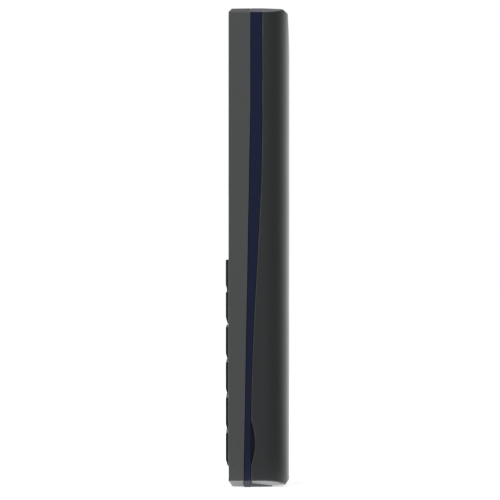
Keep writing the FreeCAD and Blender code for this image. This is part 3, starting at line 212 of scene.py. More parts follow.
def make_board_mask():
    """Glass-epoxy board under green solder mask: copper tracks show as lighter raised paths."""
    material, tree, shader = new_finish("solder_mask_green", Roughness=0.3, Coat_Weight=0.3,
                                        Coat_Roughness=0.15)
    spot = add(tree, "ShaderNodeTexCoord").outputs["Object"]
    flat = add(tree, "ShaderNodeMapping", {"Vector": spot, "Rotation": (math.pi / 2, 0, 0)})
    # Tracks 0.25 mm wide on a 0.9 mm grid, broken into blocks of about 5 mm
    tracks = add(tree, "ShaderNodeTexBrick", {
        "Vector": flat, "Scale": 1.0, "Mortar Size": 0.12 * MM, "Mortar Smooth": 0.2,
        "Brick Width": 5.2 * MM, "Row Height": 0.9 * MM}, offset=0.37, squash_frequency=3)
    ground = add(tree, "ShaderNodeMapRange", {
        "Value": speckle(tree, 6.0, detail=1.0), "From Min": 0.48, "From Max": 0.52})
    routed = add(tree, "ShaderNodeMath", {0: tracks.outputs["Fac"], 1: ground},
                 operation="MULTIPLY")
    mask = paint(tree, shader, ground, "#154a33", "#0f3626")
    paint(tree, shader, routed, mask, "#2a6f4e")
    roughen(tree, shader, routed, 0.02, edge_mm=0.05)
    return material


def make_display_glass():
    """Display glass when off: a very dark grey-green viewing area under a glossy polariser."""
    material, tree, shader = new_finish("liquid_crystal_glass", IOR=1.5)
    cloudy = speckle(tree, 12.0, detail=1.0)
    paint(tree, shader, cloudy, "#121617", "#1a1f20")
    set_inputs(tree, shader, {"Roughness": add(tree, "ShaderNodeMapRange", {
        "Value": cloudy, **WIDE_SPAN, "To Min": 0.1, "To Max": 0.16})})
    return material


def make_ribbon():
    """Polyimide ribbon with etched conductors: amber film, brown lines along its length."""
    material, tree, shader = new_finish("polyimide_ribbon", Roughness=0.34, Coat_Weight=0.3)
    spot = add(tree, "ShaderNodeTexCoord").outputs["Object"]
    # At this scale the lines lie about a millimetre apart
    lines = add(tree, "ShaderNodeTexWave", {"Vector": spot, "Scale": 1 / (math.pi * MM)},
                bands_direction="X").outputs["Fac"]
    paint(tree, shader, lines, "#6f3c10", "#a5641f")
    roughen(tree, shader, lines, 0.01)
    return material


def make_ceramic():
    """Sintered ceramic capacitors: sandy brown, dull, each a little different."""
    material, tree, shader = new_finish("sintered_ceramic", Roughness=0.5)
    shade = add(tree, "ShaderNodeMapRange", {
        "Value": speckle(tree, 3.0, detail=1.0), **NARROW_SPAN})
    paint(tree, shader, shade, "#6d5138", "#a3825c")
    roughen(tree, shader, speckle(tree, 0.12), 0.003, edge_mm=0.04)
    return material


FINISHES = {
    # ABS and polycarbonate blend from an eroded mould: dull grey with a fine even grain; its edges
    # are painted lighter, partly as wear and partly as a painted highlight
    "front_plastic": moulded("moulded_abs_front", "#4b4c4d", "#747576", roughness=0.44,
                             grain_mm=0.22, deep_mm=0.005, edge_mm=0.28),
    # Polycarbonate frame with a deep navy satin lacquer: smooth, darker and glossier
    "band_plastic": moulded("lacquered_polycarbonate_band", "#0b1435", "#1c2445", roughness=0.3,
                            grain_mm=0.35, deep_mm=0.002, edge_mm=0.15, patch=0.04, IOR=1.45),
    # Polycarbonate cover from a finely blasted mould: near black, satin, with a painted highlight
    # in a lighter colour along its rim and edges
    "rear_plastic": moulded("moulded_polycarbonate_rear", "#2c2f30", "#666b6c", roughness=0.3,
                            grain_mm=0.18, deep_mm=0.002, edge_mm=0.45, patch=0.05, IOR=1.5),
    # ABS key caps under a thin clear coat: smooth, dark and a little shiny where thumbs rub
    "key_plastic": moulded("coated_abs_keys", "#272727", "#343434", roughness=0.36,
                           grain_mm=0.3, deep_mm=0.002, edge_mm=0.08, patch=0.1),
    "ring_plastic": make_ring_lacquer(),
    "lens_clear": make_acrylic(),
    # Moulded silicone rubber: dull, slightly waxy dark grey
    "silicone": grained("moulded_silicone", "#252627", "#323334", roughness=0.62,
                        grain_mm=0.3, deep_mm=0.004, detail=3.0, Subsurface_Weight=0.05,
                        Subsurface_Radius=(0.2 * MM,) * 3),
    # Polyester film that holds the domes: milky white with a soft shine
    "film": grained("polyester_dome_film", "#cfd1cc", "#dcdedb", roughness=0.3, grain_mm=5.0,
                    deep_mm=0.02),
    "foam": make_foam(),
    # Woven steel wire, drawn and blackened: dark, with a dull glint
    "mesh_metal": rolled("blackened_steel_wire", "#4a4b4d", "#2e2f31", roughness=0.42,
                         streak_axis="X", streak_mm=0.1, deep_mm=0.004),
    "board_laminate": make_board_mask(),
    "display_glass": make_display_glass(),
    # Polycarbonate tray, moulded white so that it sends light back to the display
    "white_plastic": moulded("moulded_polycarbonate_white", "#cfd0ce", "#dcdddb", roughness=0.4,
                             grain_mm=0.3, deep_mm=0.004),
    "flex_film": make_ribbon(),
    # Tin-plated steel sheet, pressed: bright, with rolling streaks and faint tarnish
    "tin_plate": rolled("pressed_tinplate", "#b4b3af", "#918f89", roughness=0.32,
                        streak_axis="Z", streak_mm=0.25, deep_mm=0.0012),
    # Chip packages of filled epoxy, matt black with a mould grain
    "chip_resin": moulded("moulded_epoxy_chip", "#1d1d1e", "#2b2b2c", roughness=0.6,
                          grain_mm=0.12, deep_mm=0.006, edge_mm=0.06),
    # Glass-filled nylon: black, with short fibres that dull the surface
    "black_resin": moulded("glass_filled_nylon", "#1b1b1c", "#2c2c2d", roughness=0.5,
                           grain_mm=0.16, deep_mm=0.008, edge_mm=0.08),
    # Light-emitting diode: pale yellow phosphor in clear resin
    "led_resin": grained("phosphor_resin", "#e3d271", "#f2ebb0", roughness=0.25, grain_mm=0.25,
                         Subsurface_Weight=0.3, Subsurface_Radius=(0.5 * MM,) * 3),
    # Card body of white polyvinyl chloride sheet, punched out: pale, smooth and satin
    "card_plastic": moulded("punched_vinyl_card", "#dcdde0", "#eeeeee", roughness=0.38,
                            grain_mm=0.4, deep_mm=0.002, edge_mm=0.05),
    # Hard gold plated over nickel: warm, smooth and bright
    "gold_plate": rolled("hard_gold_plating", "#d8ac55", "#b98a3c", roughness=0.26,
                         streak_axis="X", streak_mm=0.3, deep_mm=0.0003),
    # Sintered tungsten and zinc-plated screws: heavy dull grey metal
    "dense_metal": rolled("sintered_heavy_metal", "#8d8a86", "#6d6a66", roughness=0.4,
                          streak_axis="Y", streak_mm=0.15, deep_mm=0.006),
    # Shrink film round the cell: dark grey with a soft sheen and shallow waves
    "battery_wrap": moulded("shrink_film_wrap", "#33363a", "#4a4d51", roughness=0.34,
                            grain_mm=3.0, deep_mm=0.03, edge_mm=0.2),
}
CERAMIC = make_ceramic()
# Screen ink on the back of the window: dense black with a soft lustre
WINDOW_INK = grained("screen_ink_black", "#090a0b", "#101113", roughness=0.4, grain_mm=0.4,
                     deep_mm=0.001)
# Painted shade: flat black that stands for the dark inside of a punched hole or a narrow joint,
# where no light comes back out
PAINTED_SHADE_BLACK = grained("painted_gap_shade", "#080808", "#131313", roughness=0.9, grain_mm=0.3,
                    Specular_IOR_Level=0.1)
# Pad-printed ink on the caps: dense and faintly grainy, with a soft edge of wear
WHITE_INK, GREEN_INK, RED_INK = [
    moulded("pad_printed_ink_" + name, colour, colour, roughness=0.42, grain_mm=0.15,
            deep_mm=0.001, edge_mm=0.02)
    for name, colour in (("white", "#d9dadb"), ("green", "#2fa84f"), ("red", "#c8372f"))]

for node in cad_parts.values():
    for place in node.material_slots:
        place.material = FINISHES[place.material.name.split(".")[0]]


# Helpers for the pieces, which are measured in millimetres

def add_object(name, data):
    """A mesh, curve, text, lamp or camera as an object in the scene."""
    holder = bpy.data.objects.new(name, data)
    bpy.context.scene.collection.objects.link(holder)
    return holder


def new_piece(name, mesh, finish, body=None):
    """A finished piece that moves with that body, or with none."""
    piece = add_object(name, mesh)
    mesh.materials.clear()
    mesh.materials.append(finish)
    if body:
        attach(piece, body)
    return piece


def mesh_of(name, shape):
    """A plain mesh of what was built up, which is then let go."""
    mesh = bpy.data.meshes.new(name)
    shape.to_mesh(mesh)
    shape.free()
    return mesh


def settled_mesh(maker):
    """A plain mesh of what a curve, a text or a modifier makes."""
    bpy.context.view_layer.update()
    shape = bpy.data.meshes.new_from_object(
        maker.evaluated_get(bpy.context.evaluated_depsgraph_get()))
    shape.name = maker.name
    bpy.data.objects.remove(maker)
    return shape


def box_mm(node):
    """A node's lowest and highest corners in millimetres."""
    return [[part / MM for part in corner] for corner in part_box(node)]


def middle_mm(node):
    """The middle of a node's box in millimetres."""
    return [(low + high) / 2 for low, high in zip(*box_mm(node))]


def rounded_loop(low, high, corner, steps=8):
    """Points round a rectangle with rounded corners, as (x, z)."""
    loop = []
    for side_x, side_z, start in ((1, -1, -90), (1, 1, 0), (-1, 1, 90), (-1, -1, 180)):
        middle = [high[0] - corner if side_x > 0 else low[0] + corner,
                  high[1] - corner if side_z > 0 else low[1] + corner]
        for step in range(steps + 1):
            angle = math.radians(start + 90 * step / steps)
            loop.append((middle[0] + corner * math.cos(angle),
                         middle[1] + corner * math.sin(angle)))
    return loop


def turned(points, angle):
    """Points of a flat loop turned round its origin."""
    return [(x * math.cos(angle) - y * math.sin(angle), x * math.sin(angle) + y * math.cos(angle))
            for x, y in points]


def stand_up(shape, place, unit=MM, facing="front"):
    """Turn a mesh that lies flat to face the front or the back, and put it at a place. unit is
    the length of one of the mesh's own units in metres."""
    turn = Matrix.Rotation(math.pi / 2, 4, "X")
    if facing == "back":
        turn = Matrix.Rotation(math.pi, 4, "Z") @ turn
    move = Matrix.Translation([part * MM for part in place])
    shape.transform(move @ turn @ Matrix.Scale(unit, 4))


def add_blocks(name, blocks, edge_mm, finish, body):
    """A piece of closed blocks with eased edges, each from its lowest to its highest corner."""
    shape = bmesh.new()
    for low, high in blocks:
        middle = [(low[axis] + high[axis]) / 2 * MM for axis in range(3)]
        sides = [(high[axis] - low[axis]) * MM for axis in range(3)]
        bmesh.ops.create_cube(shape, size=1.0, matrix=Matrix.Translation(middle)
                              @ Matrix.Diagonal(sides + [1]))
    bmesh.ops.bevel(shape, geom=shape.edges[:], offset=edge_mm * MM, segments=2, profile=0.5,
                    affect="EDGES")
    new_piece(name, mesh_of(name, shape), finish, body)


def add_ring(name, profile, place, axis, finish, body):
    """A closed piece turned round an axis through a place, from (radius, height) points."""
    steps = 48
    shape = bmesh.new()
    loops = []
    for step in range(steps):
        angle = 2 * math.pi * step / steps
        loops.append([shape.verts.new((radius * math.cos(angle) * MM,
                                       radius * math.sin(angle) * MM, height * MM))
                      for radius, height in profile])
    for step in range(steps):
        near, far = loops[step], loops[(step + 1) % steps]
        for corner in range(len(profile)):
            beyond = (corner + 1) % len(profile)
            shape.faces.new((near[corner], far[corner], far[beyond], near[beyond]))
    bmesh.ops.recalc_face_normals(shape, faces=shape.faces)
    turn = Matrix.Identity(4) if axis == "Z" else Matrix.Rotation(-math.pi / 2, 4, "X")
    shape.transform(Matrix.Translation([part * MM for part in place]) @ turn)
    new_piece(name, mesh_of(name, shape), finish, body)


# Pieces on the front: printed window border, and marks on the keys and the ring

KEY_MARKS = {**{"key_" + digit: digit for digit in "1234567890"},
             "key_hash": "#", "key_star": "*"}
KEY_FRONT = box_mm("key_1")[0][1]
INK_MM = 0.02


def make_window_print():
    """Black border printed on the back of the window, with a clear opening for the display."""
    low, high = box_mm("display_window")
    margin, gap, thick = 0.15, 0.005, 0.03
    outer = rounded_loop((low[0] + margin, low[2] + margin),
                         (high[0] - margin, high[2] - margin), corner=2.85)
    opening_low, opening_high = (-15.0, 62.0), (15.0, 99.0)
    inner = rounded_loop(opening_low, opening_high, corner=0.8)
    front = high[1] + gap
    shape = bmesh.new()
    rings = [[shape.verts.new((x * MM, y * MM, z * MM)) for x, z in loop]
             for loop, y in ((outer, front), (inner, front), (inner, front + thick),
                             (outer, front + thick))]
    for ring, following in zip(rings, rings[1:] + rings[:1]):
        for corner in range(len(outer)):
            beside = (corner + 1) % len(outer)
            shape.faces.new((ring[corner], ring[beside], following[beside], following[corner]))
    bmesh.ops.recalc_face_normals(shape, faces=shape.faces)
    new_piece("window_print", mesh_of("window_print", shape), WINDOW_INK, "phone")


def print_mark(node, shape, ink, shift=0.0):
    """Put a mark on a key, on the slope a little above its middle."""
    x, _, z = middle_mm(node)
    stand_up(shape, (x + shift, KEY_FRONT, z + 0.5))
    new_piece(node + "_mark", shape, ink, node)


def make_number_marks():
    """The number or sign on each key of the keypad, at its left."""
    for node, sign in KEY_MARKS.items():
        letter = bpy.data.curves.new(node + "_mark", "FONT")
        letter.body = sign
        # A star is drawn small in its line, so it's set larger
        letter.size = 6.4 if sign == "*" else 4.6
        letter.align_x = "CENTER"
        letter.extrude = INK_MM
        letter.resolution_u = 6
        shape = settled_mesh(add_object(node + "_mark", letter))
        across = [corner.co.x for corner in shape.vertices]
        heights = [corner.co.y for corner in shape.vertices]
        shape.transform(Matrix.Translation((-(min(across) + max(across)) / 2,
                                            -(min(heights) + max(heights)) / 2, 0)))
        print_mark(node, shape, WHITE_INK, shift=-2.6)


def flat_shape(name, loops):
    """Closed loops of (x, y) points as one thin raised mark."""
    curve = bpy.data.curves.new(name, "CURVE")
    curve.dimensions = "2D"
    curve.fill_mode = "BOTH"
    curve.extrude = INK_MM
    for loop in loops:
        line = curve.splines.new("POLY")
        line.points.add(len(loop) - 1)
        for point, (x, y) in zip(line.points, loop):
            point.co = (x, y, 0, 1)
        line.use_cyclic_u = True
    return settled_mesh(add_object(name, curve))


def handset_loop(turn_degrees):
    """A telephone handset: a bowed grip with an ear and a mouth piece at its ends."""
    half, bow, grip_top, grip_foot, piece, piece_from = 2.15, 0.75, 0.45, 0.25, 0.6, 0.62
    upper, lower = [], []
    for step in range(25):
        share = step / 12 - 1
        height = bow * (1 - share ** 2)
        deeper = piece if abs(share) > piece_from else 0
        upper.append((half * share, height + grip_top))
        lower.append((half * share, height - grip_foot - deeper))
    return turned(upper + lower[::-1], math.radians(turn_degrees))


def make_side_marks():
    """Handset signs on the call and end keys, dashes on the two keys below the display."""
    dash = rounded_loop((-1.7, -0.28), (1.7, 0.28), corner=0.27)
    for node, loop, ink in (("call_key", handset_loop(45), GREEN_INK),
                            ("end_key", handset_loop(0), RED_INK),
                            ("soft_key_left", dash, WHITE_INK),
                            ("soft_key_right", dash, WHITE_INK)):
        print_mark(node, flat_shape(node + "_mark", [loop]), ink)


def make_ring_marks():
    """Four small arrowheads on the ring, one for each way it rocks."""
    low, high = box_mm("nav_ring")
    # From the ring's middle to its sides, and to its upper and lower rim
    reaches = ((high[0] - low[0]) / 2 - 2.3, (high[2] - low[2]) / 2 - 2.2)
    arrows = []
    for quarter in range(4):
        reach = reaches[quarter % 2]
        head = [(reach + 0.75, 0), (reach - 0.15, 0.62), (reach - 0.15, -0.62)]
        arrows.append(turned(head, quarter * math.pi / 2))
    shape = flat_shape("nav_ring_mark", arrows)
    stand_up(shape, (0, low[1], middle_mm("nav_ring")[2]))
    new_piece("nav_ring_mark", shape, WHITE_INK, "nav_ring")


make_window_print()
make_number_marks()
make_side_marks()
make_ring_marks()


# Trees of geometry nodes, for what repeats

GRID_INPUTS = {"Width": ("NodeSocketFloat", 0.01), "Height": ("NodeSocketFloat", 0.01),
               "Columns": ("NodeSocketInt", 4), "Rows": ("NodeSocketInt", 4)}


def new_geometry_tree(name, inputs):
    """A geometry tree with one geometry output, and named inputs as (kind, value) pairs."""
    tree = bpy.data.node_groups.new(name, "GeometryNodeTree")
    tree.interface.new_socket("Geometry", in_out="OUTPUT", socket_type="NodeSocketGeometry")
    for title, (kind, value) in inputs.items():
        socket = tree.interface.new_socket(title, in_out="INPUT", socket_type=kind)
        socket.default_value = value
    tree.interface.new_socket("Finish", in_out="INPUT", socket_type="NodeSocketMaterial")
    return tree, tree.nodes.new("NodeGroupInput").outputs


def end_tree(tree, geometry, finish):
    """Realize the instances, set their material and close the tree."""
    whole = add(tree, "GeometryNodeRealizeInstances", {0: geometry})
    finished = add(tree, "GeometryNodeSetMaterial", {0: whole, "Material": finish})
    add(tree, "NodeGroupOutput", {0: finished})


def grow_tree(name, tree, values, finish):
    """Run a tree with these inputs and return the plain mesh that it makes."""
    maker = add_object(name, bpy.data.meshes.new(name + "_start"))
    modifier = maker.modifiers.new(name, "NODES")
    modifier.node_group = tree
    identifiers = {item.name: item.identifier for item in tree.interface.items_tree
                   if item.in_out == "INPUT"}
    for title, value in {**values, "Finish": finish}.items():
        modifier[identifiers[title]] = value
    return settled_mesh(maker)


def spread_on_grid(tree, given, copied, **inputs):
    """Copies of something on a grid of the tree's width, height, columns and rows."""
    grid = add(tree, "GeometryNodeMeshGrid", {
        "Size X": given["Width"], "Size Y": given["Height"],
        "Vertices X": given["Columns"], "Vertices Y": given["Rows"]})
    return add(tree, "GeometryNodeInstanceOnPoints", {
        "Points": grid, "Instance": copied, **inputs})


def wires_one_way(tree, along, across, pitch, radius):
    """Parallel wires along X, each bent over and under its neighbours' crossings."""
    half = add(tree, "ShaderNodeMath", {0: along, 1: 0.5}, operation="MULTIPLY")
    back = add(tree, "ShaderNodeMath", {0: half, 1: -1.0}, operation="MULTIPLY")
    start = add(tree, "ShaderNodeCombineXYZ", {"X": back})
    end = add(tree, "ShaderNodeCombineXYZ", {"X": half})
    line = add(tree, "GeometryNodeCurvePrimitiveLine", {"Start": start, "End": end})
    # Five points to a crossing, and two for the ends
    crossings = add(tree, "ShaderNodeMath", {0: along, 1: pitch}, operation="DIVIDE")
    points = add(tree, "ShaderNodeMath", {0: crossings, 1: 5.0, 2: 2.0},
                 operation="MULTIPLY_ADD")
    line = add(tree, "GeometryNodeResampleCurve", {"Curve": line, "Count": points})
    where = add(tree, "ShaderNodeSeparateXYZ", {0: add(tree, "GeometryNodeInputPosition")})
    turn = add(tree, "ShaderNodeMath", {0: where.outputs["X"], 1: math.pi},
               operation="MULTIPLY")
    turn = add(tree, "ShaderNodeMath", {0: turn, 1: pitch}, operation="DIVIDE")
    wave = add(tree, "ShaderNodeMath", {0: turn}, operation="COSINE")
    rise = add(tree, "ShaderNodeMath", {0: wave, 1: radius}, operation="MULTIPLY")
    bend = add(tree, "ShaderNodeCombineXYZ", {"Z": rise})
    line = add(tree, "GeometryNodeSetPosition", {"Geometry": line, "Offset": bend})
    profile = add(tree, "GeometryNodeCurvePrimitiveCircle", {"Resolution": 6, "Radius": radius})
    wire = add(tree, "GeometryNodeCurveToMesh", {
        "Curve": line, "Profile Curve": profile, "Fill Caps": True})
    # As many wires to each side of the middle one as fit, every second one turned over
    reach = add(tree, "ShaderNodeMath", {0: across, 1: 0.5}, operation="MULTIPLY")
    reach = add(tree, "ShaderNodeMath", {0: reach, 1: radius}, operation="SUBTRACT")
    reach = add(tree, "ShaderNodeMath", {0: reach, 1: pitch}, operation="DIVIDE")
    each_side = add(tree, "ShaderNodeMath", {0: reach}, operation="FLOOR")
    first = add(tree, "ShaderNodeMath", {0: each_side, 1: pitch}, operation="MULTIPLY")
    first = add(tree, "ShaderNodeMath", {0: first, 1: -1.0}, operation="MULTIPLY")
    count = add(tree, "ShaderNodeMath", {0: each_side, 1: 2.0, 2: 1.0},
                operation="MULTIPLY_ADD")
    places = add(tree, "GeometryNodeMeshLine", {
        "Count": count, "Start Location": add(tree, "ShaderNodeCombineXYZ", {"Y": first}),
        "Offset": add(tree, "ShaderNodeCombineXYZ", {"Y": pitch})})
    counted = add(tree, "ShaderNodeMath", {0: add(tree, "GeometryNodeInputIndex"), 1: each_side},
                  operation="SUBTRACT")
    over = add(tree, "ShaderNodeMath", {0: counted, 1: math.pi}, operation="MULTIPLY")
    over = add(tree, "ShaderNodeCombineXYZ", {"X": over})
    over = add(tree, "FunctionNodeEulerToRotation", {0: over})
    return add(tree, "GeometryNodeInstanceOnPoints", {
        "Points": places, "Instance": wire, "Rotation": over}).outputs[0]


def woven_screen_tree():
    """A plain weave of round wires in a rectangle, lying across Z."""
    tree, given = new_geometry_tree("woven_screen", {
        name: ("NodeSocketFloat", 0.001) for name in ("Width", "Height", "Pitch", "Wire Radius")})
    wide, tall, pitch, radius = [given[index] for index in range(4)]
    level = wires_one_way(tree, wide, tall, pitch, radius)
    upright = wires_one_way(tree, tall, wide, pitch, radius)
    quarter = add(tree, "GeometryNodeTransform", {
        "Geometry": upright, "Rotation": (math.pi, 0, math.pi / 2)})
    both = add(tree, "GeometryNodeJoinGeometry", {0: level})
    set_inputs(tree, both, {0: quarter})
    end_tree(tree, both, given["Finish"])
    return tree


def disc_rows_tree():
    """Small many-sided discs on a grid, lying across Z."""
    tree, given = new_geometry_tree("disc_rows", {
        **GRID_INPUTS, "Radius": ("NodeSocketFloat", 0.0004),
        "Thickness": ("NodeSocketFloat", 0.00002)})
    disc = add(tree, "GeometryNodeMeshCylinder", {
        "Vertices": 14, "Radius": given["Radius"], "Depth": given["Thickness"]})
    end_tree(tree, spread_on_grid(tree, given, disc), given["Finish"])
    return tree


def small_parts_tree():
    """Small blocks on a grid, some left out, some turned a quarter, lying across Z. The same
    seed with another block gives what sits on the same places."""
    tree, given = new_geometry_tree("small_parts", {
        **GRID_INPUTS, "Block": ("NodeSocketVector", (0.001, 0.0005, 0.0004)),
        "Apart": ("NodeSocketFloat", 0.0), "Kept Share": ("NodeSocketFloat", 0.7),
        "Seed": ("NodeSocketInt", 3)})
    # Each place holds two blocks, which are one where they aren't set apart
    block = add(tree, "GeometryNodeMeshCube", {"Size": given["Block"]})
    left = add(tree, "ShaderNodeMath", {0: given["Apart"], 1: -0.5}, operation="MULTIPLY")
    pair = add(tree, "GeometryNodeMeshLine", {
        "Count": 2, "Start Location": add(tree, "ShaderNodeCombineXYZ", {"X": left}),
        "Offset": add(tree, "ShaderNodeCombineXYZ", {"X": given["Apart"]})})
    ends = add(tree, "GeometryNodeInstanceOnPoints", {"Points": pair, "Instance": block})
    kept = add(tree, "FunctionNodeRandomValue", {
        "Probability": given["Kept Share"], "Seed": given["Seed"]}, data_type="BOOLEAN")
    other_seed = add(tree, "ShaderNodeMath", {0: given["Seed"], 1: 5.0}, operation="ADD")
    quarter = add(tree, "FunctionNodeRandomValue", {"Min": 0, "Max": 1, "Seed": other_seed},
                  data_type="INT")
    angle = add(tree, "ShaderNodeMath", {0: quarter.outputs[2], 1: math.pi / 2},
                operation="MULTIPLY")
    angle = add(tree, "ShaderNodeCombineXYZ", {"Z": angle})
    angle = add(tree, "FunctionNodeEulerToRotation", {0: angle})
    on_grid = spread_on_grid(tree, given, ends, Selection=kept.outputs[3], Rotation=angle)
    end_tree(tree, on_grid, given["Finish"])
    return tree


def joined(name, shapes):
    """Several plain meshes as one."""
    whole = bmesh.new()
    for shape in shapes:
        whole.from_mesh(shape)
        bpy.data.meshes.remove(shape)
    return mesh_of(name, whole)


# Pieces inside

# Free fields on the back of the board: left, right, low, high, columns, rows, seed
CAPACITOR_FIELDS = [
    (-19.0, -13.0, 34.0, 51.0, 4, 9, 3), (13.0, 19.0, 34.0, 51.0, 4, 9, 5),
    (-19.0, -12.0, 14.0, 29.0, 4, 8, 9), (16.0, 19.5, 12.0, 29.0, 3, 9, 12),
    (-17.0, 17.0, 53.5, 59.5, 16, 4, 15), (-1.3, 1.3, 65.0, 90.0, 2, 12, 21),
    (-6.0, 9.0, 8.5, 12.0, 8, 2, 27)]
RESISTOR_FIELDS = [(-18.0, 18.0, 30.0, 31.5, 13, 1, 31), (-19.0, 8.0, 92.0, 96.0, 8, 2, 33)]


def make_screens():
    """Woven steel screens behind the earpiece slot and the sound slots."""
    tree = woven_screen_tree()
    margin, wire_radius = 0.1, 0.042
    for node, body, pitch in (("earpiece_mesh", "phone", 0.24),
                              ("speaker_mesh", "rear_cover", 0.32)):
        low, high = box_mm(node)
        shape = grow_tree(node + "_weave", tree, {
            "Width": (high[0] - low[0] - margin) * MM, "Height": (high[2] - low[2] - margin) * MM,
            "Pitch": pitch * MM, "Wire Radius": wire_radius * MM}, FINISHES["mesh_metal"])
        stand_up(shape, middle_mm(node), unit=1.0)
        piece = new_piece(node + "_weave", shape, FINISHES["mesh_metal"], body)
        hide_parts(node)


def make_board_parts():
    """Ceramic capacitors and black resistors with tinned ends, soldered round the cans."""
    tree = small_parts_tree()
    back = box_mm("circuit_board")[1][1]
    kept_share, end_share, end_proud = 0.72, 0.2, 1.04
    for name, fields, long, wide, tall, finish in (
            ("board_capacitors", CAPACITOR_FIELDS, 1.0, 0.5, 0.5, CERAMIC),
            ("board_resistors", RESISTOR_FIELDS, 1.6, 0.8, 0.45, FINISHES["chip_resin"])):
        body = (long * 0.6, wide, tall)
        end = (long * end_share, wide * end_proud, tall * end_proud)
        for part, block, apart, coat in (("", body, 0.0, finish),
                                         ("_ends", end, long * 0.8, FINISHES["tin_plate"])):
            shapes = []
            for left, right, low, high, columns, rows, seed in fields:
                shape = grow_tree(name + part, tree, {
                    "Width": (right - left) * MM, "Height": (high - low) * MM,
                    "Columns": columns, "Rows": rows, "Block": [side * MM for side in block],
                    "Apart": apart * MM, "Kept Share": kept_share, "Seed": seed}, coat)
                # The tinned ends stand on the board, and the body hangs just clear of it
                place = ((left + right) / 2, back + end[2] / 2, (low + high) / 2)
                stand_up(shape, place, unit=1.0, facing="back")
                shapes.append(shape)
            new_piece(name + part, joined(name + part, shapes), coat, "phone")


def disc_rows(name, tree, place, columns, rows, pitch, radius, thick, finish):
    """Discs in even rows round a place, facing the back."""
    shape = grow_tree(name, tree, {
        "Width": (columns - 1) * pitch * MM, "Height": (rows - 1) * pitch * MM,
        "Columns": columns, "Rows": rows, "Radius": radius * MM, "Thickness": thick * MM},
        finish)
    stand_up(shape, place, unit=1.0, facing="back")
    return shape


def make_vents_and_pads():
    """Rows of punched holes in the cans over the chips, drawn as black discs of painted shade, and
    gilded test pads on the board, flat enough for the cards to slide out over them."""
    tree = disc_rows_tree()
    pitch, margin = 2.0, 3.0
    for node in ("processor_shield", "radio_shield"):
        low, high = box_mm(node)
        columns, rows = [int((high[axis] - low[axis] - margin) / pitch) + 1 for axis in (0, 2)]
        x, _, z = middle_mm(node)
        # Each hole is a black disc of painted shade on the can
        shape = disc_rows(node + "_vents", tree, (x, high[1] + 0.005, z), columns, rows, pitch,
                          radius=0.4, thick=0.02, finish=PAINTED_SHADE_BLACK)
        new_piece(node + "_vents", shape, PAINTED_SHADE_BLACK, "phone")
    gold = FINISHES["gold_plate"]
    back = box_mm("circuit_board")[1][1]
    shapes = [disc_rows("board_test_pads", tree, (x, back + 0.015, 86.5), columns=5, rows=3,
                        pitch=2.5, radius=0.55, thick=0.04, finish=gold) for x in (-9.0, 9.0)]
    new_piece("board_test_pads", joined("board_test_pads", shapes), gold, "phone")


def make_contacts():
    """Gold contacts on the battery, both cards and the charging tongue, and the bright springs
    and rim of the headphone socket."""
    gold, tin = FINISHES["gold_plate"], FINISHES["tin_plate"]
    top = box_mm("battery")[1][2]
    half_wide, front, back = 0.9, 0.9, 2.1
    pads = [((x - half_wide, front, top - 0.3), (x + half_wide, back, top + 0.015))
            for x in (-3, 0, 3)]
    add_blocks("battery_pads", pads, 0.05, gold, "battery")
    # Card contacts lie in two columns of four, at the standard's row pitch
    half_wide, column_x, first_z, tall, pitch = 1.25, 2.9, 68.2, 2.1, 2.54
    for node in ("sim_card_1", "sim_card_2"):
        front = box_mm(node)[0][1]
        pads = []
        for side in (-1, 1):
            x = middle_mm(node)[0] + side * column_x
            for row in range(4):
                z = first_z + row * pitch
                pads.append(((x - half_wide, front - 0.012, z),
                             (x + half_wide, front + 0.1, z + tall)))
        add_blocks(node + "_pads", pads, 0.02, gold, node)
    low, high = box_mm("usb_tongue")
    pitch, half_wide = 0.95, 0.28
    pads = [((step * pitch - half_wide, low[1] - 0.015, low[2] + 0.25),
             (step * pitch + half_wide, low[1] + 0.1, high[2] - 0.4)) for step in range(-2, 3)]
    add_blocks("usb_tongue_contacts", pads, 0.02, gold, "phone")
    low, high = box_mm("headphone_jack")
    bore_x, bore_y = 15.0, 1.0
    rim = [(1.85, 0.0), (1.85, 0.03), (2.0, 0.05), (2.3, 0.05), (2.42, 0.02), (2.42, 0.0)]
    add_ring("headphone_jack_rim", rim, (bore_x, bore_y, high[2] - 0.005), "Z", tin, "phone")
    from_side, tall = 0.9, 0.9
    springs = [((low[0] + from_side, high[1] - 0.05, z),
                (high[0] - from_side, high[1] + 0.06, z + tall)) for z in (99.6, 102.3, 105.0)]
    add_blocks("headphone_jack_springs", springs, 0.02, tin, "phone")


def make_holder_stampings():
    """Windows with a tongue in each, and a stiffening bead, stamped in the card holders; the
    windows are drawn as blocks of painted shade.
    """
    buried, column_x, pitch, end_gap = 0.05, 3.7, 3.9, 2.0
    window_half, window_tall, tongue_half, tongue_tall = 1.3, 2.2, 0.6, 1.8
    windows, stamped = [], []
    for node in ("sim_holder_1", "sim_holder_2"):
        low, high = box_mm(node)
        middle, back = middle_mm(node)[0], high[1]
        stamped.append(((middle - 0.6, back - buried, low[2] + end_gap),
                        (middle + 0.6, back + 0.1, high[2] - end_gap)))
        for side in (-1, 1):
            for step in range(3):
                x, z = middle + side * column_x, low[2] + end_gap + pitch * step
                windows.append(((x - window_half, back - buried, z),
                                (x + window_half, back + 0.012, z + window_tall)))
                stamped.append(((x - tongue_half, back - buried, z - 0.2),
                                (x + tongue_half, back + 0.05, z - 0.2 + tongue_tall)))
    # The windows are flat black blocks of painted shade
    add_blocks("sim_holder_windows", windows, 0.01, PAINTED_SHADE_BLACK, "phone")
    add_blocks("sim_holder_stampings", stamped, 0.04, FINISHES["tin_plate"], "phone")


